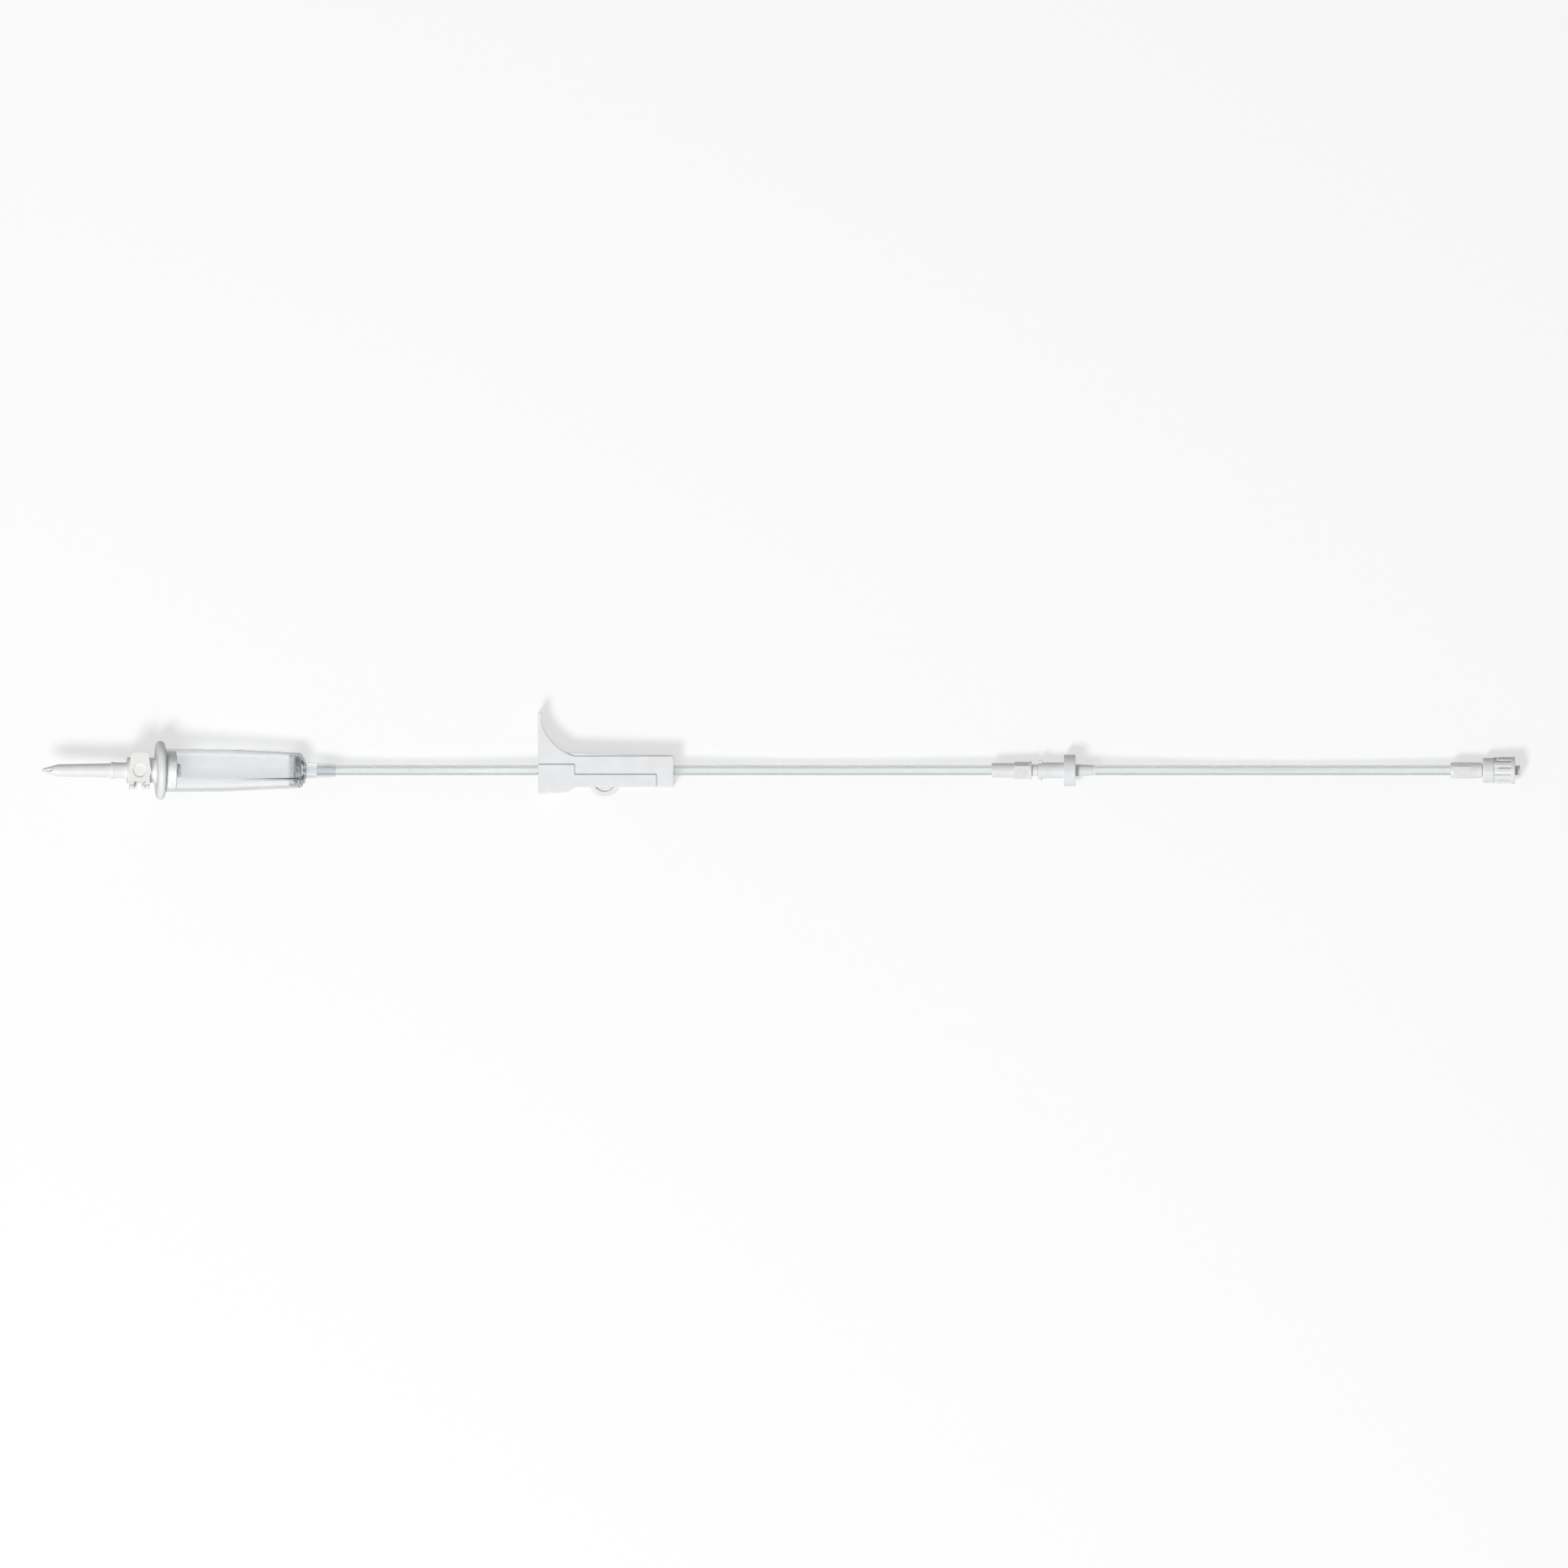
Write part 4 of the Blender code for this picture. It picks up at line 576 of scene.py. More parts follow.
class Bench:
    """Modelling steps, on one object at a time. Sizes are in millimetres, in the assembly's own space."""

    @staticmethod
    def clear() -> None:
        """Leaves edit mode and deselects every object."""
        if bpy.context.object and bpy.context.object.mode != "OBJECT":
            bpy.ops.object.mode_set(mode="OBJECT")
        bpy.ops.object.select_all(action="DESELECT")

    @staticmethod
    def pick(*pieces: Object) -> None:
        """Selects only some pieces.

        Args:
            pieces: the pieces, of which the first becomes the active one.
        """
        Bench.clear()
        for piece in pieces:
            piece.select_set(True)
        bpy.context.view_layer.objects.active = pieces[0]

    @staticmethod
    def move(piece: Object, matrix: Matrix) -> Object:
        """Moves a piece, with its new place kept in its mesh.

        Args:
            piece: the piece.
            matrix: the move.

        Returns:
            The piece.
        """
        Bench.pick(piece)
        piece.matrix_world = matrix
        bpy.ops.object.transform_apply(location=True, rotation=True, scale=True)
        return piece

    @staticmethod
    def copied(piece: Object, matrix: Matrix) -> Object:
        """Copies a piece, with a mesh of its own.

        Args:
            piece: the piece.
            matrix: move from it to the copy.

        Returns:
            The copy.
        """
        copy = piece.copy()
        copy.data = piece.data.copy()
        bpy.context.scene.collection.objects.link(copy)
        return Bench.move(copy, matrix)

    @staticmethod
    def named(name: str) -> Object:
        """Names the primitive that was just added, and applies its place.

        Args:
            name: the piece's name.

        Returns:
            The piece.
        """
        piece = bpy.context.object
        piece.name = piece.data.name = name
        bpy.ops.object.transform_apply(location=True, rotation=True, scale=True)
        return piece

    @staticmethod
    def edit(piece: Object, select: bool = True) -> None:
        """Opens a piece in edit mode.

        Args:
            piece: the piece.
            select: whether all of it is selected, or else none.
        """
        Bench.pick(piece)
        bpy.ops.object.mode_set(mode="EDIT")
        bpy.ops.mesh.select_all(action="SELECT" if select else "DESELECT")

    @staticmethod
    def close() -> None:
        """Goes back to object mode."""
        bpy.ops.object.mode_set(mode="OBJECT")

    @staticmethod
    def seal() -> None:
        """Closes the piece in edit mode, turns its faces outwards and goes back to object mode."""
        bpy.ops.mesh.select_all(action="SELECT")
        bpy.ops.mesh.fill_holes(sides=0)
        bpy.ops.mesh.select_all(action="SELECT")
        bpy.ops.mesh.normals_make_consistent(inside=False)
        Bench.close()

    @staticmethod
    def turned(name: str, profile: Profile, sides: int = FINE, bored: bool = False) -> Object:
        """Round piece about +X, drawn out ring by ring from a circle.

        Args:
            name: the piece's name.
            profile: stations of x and radius.
            sides: facets round the axis.
            bored: whether the profile closes on itself round a bore. Otherwise its ends are capped.

        Returns:
            The piece, closed and facing outwards.
        """
        Bench.clear()
        x, radius = profile[0]
        bpy.ops.mesh.primitive_circle_add(
            vertices=sides,
            radius=radius * MM,
            fill_type="NOTHING",
            location=(x * MM, 0.0, 0.0),
            rotation=(0.0, math.pi / 2, 0.0),
        )
        piece = Bench.named(name)
        Bench.edit(piece)
        stations = profile + profile[:1] if bored else profile
        for (x, radius), (next_x, next_radius) in pairwise(stations):
            bpy.ops.mesh.extrude_edges_move(TRANSFORM_OT_translate={"value": ((next_x - x) * MM, 0.0, 0.0)})
            share = next_radius / radius
            bpy.ops.transform.resize(value=(1.0, share, share), center_override=(next_x * MM, 0.0, 0.0))
        bpy.ops.mesh.select_all(action="SELECT")
        if bored:
            bpy.ops.mesh.remove_doubles(threshold=SEAM)
        Bench.seal()
        return piece

    @staticmethod
    def upright(piece: Object, x: float) -> Object:
        """Stands a turned piece on end, so that its own stations become heights.

        Args:
            piece: the piece.
            x: station that it stands over.

        Returns:
            The piece.
        """
        return Bench.move(piece, shifted(x) @ Matrix.Rotation(-math.pi / 2, 4, "Y"))

    @staticmethod
    def bar(
        name: str, radius: float, start: Point, end: Point, sides: int = SMALL, turn: float = 0.0
    ) -> Object:
        """Round or many-sided bar between two points.

        Args:
            name: the bar's name.
            radius: radius of its corners.
            start: middle of its first end.
            end: middle of its other end.
            sides: number of its sides.
            turn: turn about its own length, in radians.

        Returns:
            The bar.
        """
        Bench.clear()
        first, last = Vector(start) * MM, Vector(end) * MM
        span = last - first
        heading = span.to_track_quat("Z", "Y") @ Matrix.Rotation(turn, 3, "Z").to_quaternion()
        bpy.ops.mesh.primitive_cylinder_add(
            vertices=sides,
            radius=radius * MM,
            depth=span.length,
            location=(first + last) / 2,
            rotation=heading.to_euler(),
        )
        return Bench.named(name)

    @staticmethod
    def slab(name: str, outline: Outline, low: float, high: float, plane: Plane = Plane.FLAT) -> Object:
        """Outline given a thickness.

        Args:
            name: the piece's name.
            outline: corners, in order.
            low: depth of its first face.
            high: depth of its other face.
            plane: the plane that the outline is in.

        Returns:
            The piece, closed and facing outwards.
        """
        Bench.clear()
        bpy.ops.mesh.primitive_circle_add(vertices=len(outline), radius=MM, fill_type="NGON")
        piece = Bench.named(name)
        across, up, deep = (Vector(axis) for axis in plane.value)
        for vertex, (u, v) in zip(piece.data.vertices, outline, strict=True):
            vertex.co = (across * u + up * v + deep * low) * MM
        Bench.edit(piece)
        bpy.ops.mesh.extrude_region_move(TRANSFORM_OT_translate={"value": deep * (high - low) * MM})
        Bench.seal()
        return piece

    @staticmethod
    def modify(piece: Object, kind: str, **settings: object) -> None:
        """Adds a modifier to a piece and applies it.

        Args:
            piece: the piece.
            kind: the modifier's type.
            settings: its settings, by their own names.
        """
        Bench.pick(piece)
        modifier = piece.modifiers.new(kind.lower(), kind)
        for name, value in settings.items():
            setattr(modifier, name, value)
        bpy.ops.object.modifier_apply(modifier=modifier.name)

    @staticmethod
    def combine(piece: Object, tool: Object, step: Step) -> None:
        """Joins, cuts or intersects a piece with a tool, and removes the tool.

        Args:
            piece: the piece.
            tool: the tool.
            step: what the tool does.
        """
        Bench.modify(piece, "BOOLEAN", operation=step.value, solver="EXACT", object=tool)
        bpy.data.objects.remove(tool)

    @staticmethod
    def repeat(piece: Object, tool: Object, moves: list[Matrix], step: Step = Step.ADD) -> None:
        """Joins or cuts a piece with copies of one tool, and removes the tool.

        Args:
            piece: the piece.
            tool: the tool, modelled once.
            moves: move from it to each copy.
            step: what each copy does.
        """
        for matrix in moves:
            Bench.combine(piece, Bench.copied(tool, matrix), step)
        bpy.data.objects.remove(tool)

    @staticmethod
    def soften(piece: Object, width: float, segments: int = 3, angle: float = 40.0) -> None:
        """Rounds the sharp edges of a piece.

        Args:
            piece: the piece.
            width: width of the rounding.
            segments: facets across it.
            angle: angle between faces, in degrees, over which an edge is sharp.
        """
        Bench.modify(
            piece,
            "BEVEL",
            width=width * MM,
            segments=segments,
            limit_method="ANGLE",
            angle_limit=math.radians(angle),
        )

    @staticmethod
    def faces_where(piece: Object, test: FaceTest) -> None:
        """Selects some faces of the piece in edit mode.

        Args:
            piece: the piece, in edit mode.
            test: whether a face is selected, by its centre, in millimetres, and its normal.
        """
        bpy.ops.mesh.select_mode(type="FACE")
        mesh = bmesh.from_edit_mesh(piece.data)
        for face in mesh.faces:
            face.select_set(bool(test(face.calc_center_median() / MM, face.normal)))
        bmesh.update_edit_mesh(piece.data)

    @staticmethod
    def dress(piece: Object, finish: Finish, angle: float = 32.0) -> None:
        """Gives a piece its finish and shades it smooth.

        Args:
            piece: the piece.
            finish: what it is made of.
            angle: angle between faces, in degrees, over which an edge stays sharp.
        """
        Bench.pick(piece)
        piece.data.materials.clear()
        piece.data.materials.append(PALETTE.of(finish))
        bpy.ops.object.shade_smooth_by_angle(angle=math.radians(angle))


def deliver(piece: Object, axis: Axis, finish: Finish, body: Body, slot: Slot, *nodes: str) -> Object:
    """Lays, dresses and hands over a finished piece.

    Args:
        piece: the piece in its assembly's own space.
        axis: where the assembly lies.
        finish: what the piece is made of.
        body: the body that it moves with.
        slot: the record's slot for its colour; not used.
        nodes: the frame's nodes that it stands for.

    Returns:
        The piece.
    """
    Bench.move(piece, axis.matrix())
    Bench.dress(piece, finish)
    Bench.modify(piece, "WEIGHTED_NORMAL", keep_sharp=True, weight=100)
    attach(piece, body.value)
    if nodes:
        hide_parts(*nodes)
    LOG.info("%s: %d faces, rides on %s", piece.name, len(piece.data.polygons), body.value)
    return piece


def shifted(x: float) -> Matrix:
    """Move along the set, in millimetres."""
    return Matrix.Translation((x * MM, 0.0, 0.0))


def spun(share: float) -> Matrix:
    """Turn about the assembly's axis, by that share of a whole turn."""
    return Matrix.Rotation(WHOLE_TURN * share, 4, "X")


def arc(centre: Pair, radius: float, start: float, end: float, steps: int) -> Outline:
    """Points of an arc, with both of its ends.

    Args:
        centre: its centre.
        radius: its radius.
        start: angle of its first end, in degrees.
        end: angle of its other end, in degrees.
        steps: number of its facets.

    Returns:
        The points.
    """
    turns = [math.radians(start + (end - start) * k / steps) for k in range(steps + 1)]
    return [(centre[0] + radius * math.cos(t), centre[1] + radius * math.sin(t)) for t in turns]


def eased(profile: Profile, radius: float, bored: bool = False, steps: int = 3) -> Profile:
    """Profile with its corners rounded.

    Args:
        profile: stations of x and radius.
        radius: radius of the corners, less where a side is too short for it.
        bored: whether the profile closes on itself.
        steps: facets in each corner.

    Returns:
        The rounded profile.
    """
    straight = math.radians(20)
    most = 0.42
    points = [Vector(p) for p in profile]
    made: Profile = []
    for k, here in enumerate(points):
        back = points[k - 1] - here
        on = points[(k + 1) % len(points)] - here
        at_end = not bored and k in (0, len(points) - 1)
        bend = 0.0 if at_end else math.pi - back.angle(on)
        if bend < straight:
            made.append(tuple(here))
            continue
        reach = min(radius * math.tan(bend / 2), back.length * most, on.length * most)
        fitted = reach / math.tan(bend / 2)
        bisector = (back.normalized() + on.normalized()).normalized()
        centre = here + bisector * (fitted / math.cos(bend / 2))
        first = here + back.normalized() * reach - centre
        last = here + on.normalized() * reach - centre
        turn = first.angle_signed(last)
        start = math.atan2(first.y, first.x)
        for s in range(steps + 1):
            angle = start - turn * s / steps
            made.append((centre.x + fitted * math.cos(angle), centre.y + fitted * math.sin(angle)))
    return made


def capsule(start: Pair, end: Pair, radius: float, steps: int = 12) -> Outline:
    """Outline of a bar with round ends.

    Args:
        start: centre of its first end.
        end: centre of its other end.
        radius: radius of its ends.
        steps: facets in each end.

    Returns:
        The outline.
    """
    heading = math.degrees(math.atan2(end[1] - start[1], end[0] - start[0]))
    far_end = arc(end, radius, heading - 90, heading + 90, steps)
    return far_end + arc(start, radius, heading + 90, heading + 270, steps)


def rounded_corner(corner: Pair, before: Pair, after: Pair, radius: float, steps: int = 6) -> Outline:
    """Points that round a corner of an outline.

    Args:
        corner: the corner.
        before: a point on the way to it.
        after: a point on the way from it.
        radius: radius of the rounding.
        steps: number of its facets.

    Returns:
        The points.
    """
    return eased([before, corner, after], radius, steps=steps)[1:-1]


# Spike, vent and lid


@dataclass
class SpikeMoulding:
    """Spike with its two channels, vent housing, finger flange and lid plug, in one moulding.

    Args:
        tip_radius: radius of the blunt point.
        point_angle: half angle of the flare behind it, in degrees.
        shoulder_radius: radius where the flare ends.
        shaft_radius: radius of the shaft where it starts to widen.
        root_radius: radius at the stop ring.
        ring_at: start of the stop ring.
        ring_radius: radius of the stop ring.
        base_at: start of the base behind the ring.
        base_radius: radius of the base.
        plate_at: start of the vent housing's plate.
        plate_radius: radius of that plate.
        barrel_at: start of the vent housing's barrel.
        barrel_radius: radius of the barrel.
        flange_at: start of the finger flange.
        flange_fillet: radius of the fillet in front of the flange.
        plug_at: start of the lid's plug.
        plug_end: end of the lid's plug.
        flange_radius: radius of the finger flange.
        plug_radius: radius of the plug.
        vent_at: station of the vent.
        boss_radius: radius of the vent's boss.
        boss_foot: height where the boss starts, in the barrel.
        boss_top: height of the boss.
        recess_radius: radius of the filter's recess.
        recess_depth: depth of that recess.
        hinge_y: place of the cap's pivot across the set.
        hinge_z: height of the cap's pivot.
        ear_inside: inner side of a hinge ear, from the vent's middle.
        ear_outside: outer side of a hinge ear.
        ear_radius: radius of an ear's end.
        ear_root: middle of an ear's other end, y and z.
        pin_radius: radius of a hinge pin.
        pin_reach: end of a pin, from the vent's middle.
        fluid_at: height of the fluid channel over the axis.
        fluid_radius: radius of that channel.
        air_at: height of the air channel.
        air_radius: radius of that channel.
        port_radius: radius of the port between it and the filter.
        channels_from: station where both channels start.
        socket_radius: radius of the drop former's socket.
        socket_depth: depth of that socket.
    """

    tip_radius: float = 0.95
    point_angle: float = 15.5
    shoulder_radius: float = 2.5
    shaft_radius: float = 2.62
    root_radius: float = 3.05
    ring_at: float = 29.8
    ring_radius: float = 3.65
    base_at: float = 30.9
    base_radius: float = 3.45
    plate_at: float = 36.7
    plate_radius: float = 5.65
    barrel_at: float = 37.8
    barrel_radius: float = 5.45
    flange_at: float = 49.25
    flange_fillet: float = 0.5
    plug_at: float = 52.95
    plug_end: float = 57.8
    flange_radius: float = 12.7
    plug_radius: float = 8.45
    vent_at: float = 41.6
    boss_radius: float = 4.6
    boss_foot: float = 2.3
    boss_top: float = 6.4
    recess_radius: float = 3.15
    recess_depth: float = 1.4
    hinge_y: float = -7.05
    hinge_z: float = 4.6
    ear_inside: float = 1.1
    ear_outside: float = 2.2
    ear_radius: float = 1.05
    ear_root: Pair = (-4.0875, 2.725)
    pin_radius: float = 0.5
    pin_reach: float = 3.8
    fluid_at: float = -1.15
    fluid_radius: float = 1.0
    air_at: float = 1.3
    air_radius: float = 0.6
    port_radius: float = 0.8
    channels_from: float = 1.5
    socket_radius: float = 1.95
    socket_depth: float = 4.6

    def point(self) -> Profile:
        """Blunt point and the flare behind it."""
        stations = []
        for k in range(9):
            turn = math.radians((90 - self.point_angle) * max(k, 0.6) / 8)
            stations.append((self.tip_radius * (1 - math.cos(turn)), self.tip_radius * math.sin(turn)))
        x, radius = stations[-1]
        x += (self.shoulder_radius - radius) / math.tan(math.radians(self.point_angle))
        shoulder = [(x - 0.3, self.shoulder_radius - 0.09), (x + 0.35, self.shaft_radius - 0.06)]
        return stations + shoulder + [(x + 1.4, self.shaft_radius)]

    def flange(self) -> Profile:
        """Finger flange with a round rim, and a fillet to the barrel and to the plug."""
        rim = (self.plug_at - self.flange_at) / 2
        fillet = self.flange_fillet
        foot = arc((self.flange_at - fillet, self.barrel_radius + fillet), fillet, -90, 0, 4)
        edge = arc((self.flange_at + rim, self.flange_radius - rim), rim, 180, 0, 20)
        return foot + edge + [(self.plug_at, self.plug_radius)]

    def shell(self) -> Object:
        """The moulding's turned form."""
        front = [
            (self.ring_at, self.root_radius),
            (self.ring_at, self.ring_radius),
            (self.base_at, self.ring_radius),
            (self.base_at, self.base_radius),
            (self.plate_at, self.base_radius - 0.05),
            (self.plate_at, self.plate_radius),
            (self.barrel_at, self.plate_radius),
            (self.barrel_at, self.barrel_radius),
            (self.flange_at - self.flange_fillet - 0.1, self.barrel_radius),
        ]
        edge = 0.6
        back = arc((self.plug_end - edge, self.plug_radius - edge), edge, 90, 0, 5)
        profile = self.point() + eased(front, 0.14) + self.flange() + back + [(self.plug_end, 0.3)]
        return Bench.turned("spike_moulding", profile)

    def add_vent(self, body: Object) -> None:
        """Adds the boss, the hinge ears and the stub pins.

        Args:
            body: the moulding.
        """
        radius, top = self.boss_radius, self.boss_top
        side = [(self.boss_foot, radius), (top, radius), (top, radius - 1.0)]
        boss = Bench.upright(Bench.turned("vent_boss", eased(side, 0.25), MEDIUM), self.vent_at)
        Bench.combine(body, boss, Step.ADD)
        outline = capsule(self.ear_root, (self.hinge_y, self.hinge_z), self.ear_radius)
        near, far = self.vent_at - self.ear_outside, self.vent_at - self.ear_inside
        ear = Bench.slab("hinge_ear", outline, near, far, Plane.CROSS)
        Bench.soften(ear, 0.12)
        Bench.repeat(body, ear, [shifted(0.0), shifted(self.ear_inside + self.ear_outside)])
        inner = (self.ear_inside + self.ear_outside) / 2
        ends = [(self.vent_at - reach, self.hinge_y, self.hinge_z) for reach in (self.pin_reach, inner)]
        pin = Bench.bar("hinge_pin", self.pin_radius, *ends, TINY)
        Bench.repeat(body, pin, [shifted(0.0), shifted(inner + self.pin_reach)])

    def bore(self, body: Object) -> None:
        """Cuts the fluid and air channels, the drop former's socket and the vent.

        Args:
            body: the moulding.
        """
        at, top, past = self.vent_at, self.boss_top + 1.0, self.plug_end + 1.0
        stem = self.plug_end - self.socket_depth
        start = self.channels_from
        channels = [
            (self.fluid_radius, (start, 0.0, self.fluid_at), (stem, 0.0, self.fluid_at)),
            (self.socket_radius, (stem - 0.3, 0.0, 0.0), (past, 0.0, 0.0)),
            (self.air_radius, (start, 0.0, self.air_at), (at + 0.4, 0.0, self.air_at)),
            (self.port_radius, (at, 0.0, self.air_at), (at, 0.0, top)),
            (self.recess_radius, (at, 0.0, self.boss_top - self.recess_depth), (at, 0.0, top)),
        ]
        for radius, near, far in channels:
            Bench.combine(body, Bench.bar("channel", radius, near, far), Step.TAKE)

    def build(self) -> None:
        """Builds the moulding and hands it over."""
        body = self.shell()
        self.add_vent(body)
        self.bore(body)
        deliver(body, CHAMBER_AXIS, PALETTE.spike, Body.LINE, Slot.SPIKE, "spike_body")


@dataclass
class Vent:
    """Air filter and the hinged cap over it.

    Args:
        spike: the moulding that carries both.
        low: height of the cap's underside.
        high: height of its top.
        disc_radius: radius of its round part.
        tab_reach: how far its thumb tab stands out.
        tab_half_width: half the tab's width.
        tab_corner: radius of the tab's corners.
        leg_inside: inner side of its legs.
        leg_outside: outer side of its legs.
        knuckle_radius: radius of a leg's end round the pin.
        eye_radius: radius of the hole for the pin.
        plug_radius: radius of the plug that closes the vent.
        plug_depth: how far that plug reaches down.
        recess_radius: radius of the round recess in its top.
        recess_depth: depth of that recess.
        filter_radius: radius of the air filter.
        filter_thickness: thickness of the air filter.
    """

    spike: SpikeMoulding
    low: float = 6.7
    high: float = 8.2
    disc_radius: float = 4.95
    tab_reach: float = 8.1
    tab_half_width: float = 4.0
    tab_corner: float = 1.7
    leg_inside: float = 2.5
    leg_outside: float = 4.3
    knuckle_radius: float = 1.03
    eye_radius: float = 0.65
    plug_radius: float = 2.82
    plug_depth: float = 0.7
    recess_radius: float = 2.9
    recess_depth: float = 0.75
    filter_radius: float = 3.0
    filter_thickness: float = 0.4

    def outline(self) -> Outline:
        """The cap from above: disc, tab and legs."""
        corner = (self.tab_half_width, self.tab_reach)
        right = rounded_corner(corner, (0.0, self.tab_reach), (self.tab_half_width, 0.0), self.tab_corner)
        side = math.degrees(math.acos((self.tab_half_width + 0.45) / self.disc_radius))
        leg = math.degrees(math.acos(self.leg_outside / self.disc_radius))
        right += arc((0.0, 0.0), self.disc_radius, side, -leg, 14)
        middle = (self.leg_inside + self.leg_outside) / 2
        width = (self.leg_outside - self.leg_inside) / 2
        right += arc((middle, self.spike.hinge_y - self.spike.ear_radius + width), width, 0, -180, 10)
        foot = self.disc_radius + 0.25
        right += arc((0.0, 0.0), foot, -math.degrees(math.acos(self.leg_inside / foot)), -90, 8)
        return right + [(-x, y) for x, y in reversed(right[:-1])]

    def recess(self) -> Object:
        """What the round recess takes out of the cap's top."""
        radius, floor = self.recess_radius, self.high - self.recess_depth
        side = [
            (floor, radius - 0.5),
            (floor, radius - 0.25),
            (self.high - 0.25, radius - 0.05),
            (self.high, radius + 0.2),
            (self.high + 0.4, radius + 0.6),
        ]
        return Bench.upright(Bench.turned("recess", eased(side, 0.2), MEDIUM), self.spike.vent_at)

    def cap(self) -> Object:
        """The cap, closed over the vent."""
        at, y, z = self.spike.vent_at, self.spike.hinge_y, self.spike.hinge_z
        plate = Bench.slab("vent_cover", [(at + u, v) for u, v in self.outline()], self.low, self.high)
        Bench.soften(plate, 0.38, segments=4)
        ends = [(at, 0.0, self.low - self.plug_depth), (at, 0.0, self.low + 0.5)]
        plug = Bench.bar("cap_plug", self.plug_radius, *ends)
        Bench.soften(plug, 0.15)
        Bench.combine(plate, plug, Step.ADD)
        inner, outer = self.leg_inside + 0.01, self.leg_outside - 0.01
        outline = capsule((y, z), (y, self.high - 0.5), self.knuckle_radius)
        knuckle = Bench.slab("knuckle", outline, at - outer, at - inner, Plane.CROSS)
        Bench.soften(knuckle, 0.12)
        Bench.repeat(plate, knuckle, [shifted(0.0), shifted(inner + outer)])
        eye = Bench.bar("eye", self.eye_radius, (at - 6.0, y, z), (at + 6.0, y, z), TINY)
        Bench.combine(plate, eye, Step.TAKE)
        Bench.combine(plate, self.recess(), Step.TAKE)
        return plate

    def filter(self) -> Object:
        """Air filter disc with a welded edge."""
        at = self.spike.vent_at
        floor = self.spike.boss_top - self.spike.recess_depth + 0.3
        top = floor + self.filter_thickness
        disc = Bench.bar("air_filter", self.filter_radius, (at, 0.0, floor), (at, 0.0, top), MEDIUM)
        Bench.edit(disc, select=False)
        Bench.faces_where(disc, lambda centre, normal: normal.z > 0.9)
        bpy.ops.mesh.inset(thickness=0.45 * MM)
        bpy.ops.mesh.inset(thickness=0.12 * MM, depth=-0.12 * MM)
        Bench.close()
        return disc

    def build(self) -> None:
        """Builds both pieces and hands them over."""
        deliver(self.filter(), CHAMBER_AXIS, PALETTE.membrane, Body.LINE, Slot.MEMBRANE, "vent_filter")
        deliver(self.cap(), CHAMBER_AXIS, PALETTE.cap, Body.CAP, Slot.CAP, "vent_cap")


@dataclass
class DropFormer:
    """Drop former in the lid.

    Args:
        start: start of its stem.
        face: station where its head starts.
        end: its mouth.
        stem_radius: radius of the stem.
        head_radius: radius of the head.
        bore_radius: radius of its channel.
    """

    start: float = 53.2
    face: float = 58.1
    end: float = 59.9
    stem_radius: float = 1.8
    head_radius: float = 2.85
    bore_radius: float = 0.9

    def build(self) -> None:
        """Builds the piece and hands it over."""
        profile = [
            (self.start, self.bore_radius),
            (self.start, self.stem_radius),
            (self.face, self.stem_radius),
            (self.face, self.head_radius),
            (self.end, self.head_radius),
            (self.end, self.bore_radius + 0.5),
            (self.end - 0.5, self.bore_radius),
        ]
        piece = Bench.turned("drop_former", eased(profile, 0.55, bored=True), SMALL, bored=True)
        deliver(piece, CHAMBER_AXIS, PALETTE.nozzle, Body.LINE, Slot.NOZZLE, "drop_nozzle")


# Drip chamber


@dataclass
class DripChamber:
    """Clear chamber with three lengthwise ribs.

    Args:
        start: its mouth, at the flange.
        waist: station where the taper starts.
        end: its foot.
        mouth_radius: outside radius at the mouth.
        waist_radius: outside radius at the waist.
        foot_radius: outside radius at the foot.
        wall: thickness of the wall.
        rib_radius: radius of the ribs' outer edges.
        rib_width: width of a rib.
        rib_count: number of ribs.
    """

    start: float = 53.25
    waist: float = 80.05
    end: float = 110.6
    mouth_radius: float = 9.25
    waist_radius: float = 8.95
    foot_radius: float = 7.6
    wall: float = 0.65
    rib_radius: float = 8.85
    rib_width: float = 1.2
    rib_count: int = 3

    def radius(self, x: float) -> float:
        """Outside radius at a station.

        Args:
            x: the station.

        Returns:
            The radius.
        """
        if x <= self.waist:
            share = (x - self.start) / (self.waist - self.start)
            return self.mouth_radius + (self.waist_radius - self.mouth_radius) * share**2
        share = (x - self.waist) / (self.end - self.waist)
        return self.waist_radius + (self.foot_radius - self.waist_radius) * share

    def shell(self) -> Object:
        """Wall of the chamber, open at both ends."""
        steps = [self.start, 57.8, 63.0, 69.0, 75.0, self.waist, 90.0, 100.0, self.end]
        outside = [(x, self.radius(x)) for x in steps]
        inside = [(x, r - self.wall) for x, r in reversed(outside)]
        return Bench.turned("chamber_wall", eased(outside + inside, 0.2, bored=True), bored=True)

    def rib(self) -> Object:
        """Rib along the chamber, whose outer edge keeps its radius as the wall narrows."""
        depth = self.wall / 2
        outline = [
            (self.waist, self.radius(self.waist) - depth),
            (self.waist + 0.4, self.rib_radius),
            (self.end, self.rib_radius),
            (self.end, self.radius(self.end) - depth),
        ]
        rib = Bench.slab("rib", outline, -self.rib_width / 2, self.rib_width / 2, Plane.LENGTHWISE)
        Bench.soften(rib, 0.16)
        return rib

    def build(self) -> None:
        """Builds the chamber and hands it over."""
        chamber = self.shell()
        Bench.repeat(chamber, self.rib(), [spun(-0.25 - k / self.rib_count) for k in range(self.rib_count)])
        deliver(chamber, CHAMBER_AXIS, PALETTE.chamber, Body.LINE, Slot.CHAMBER, "drip_chamber")


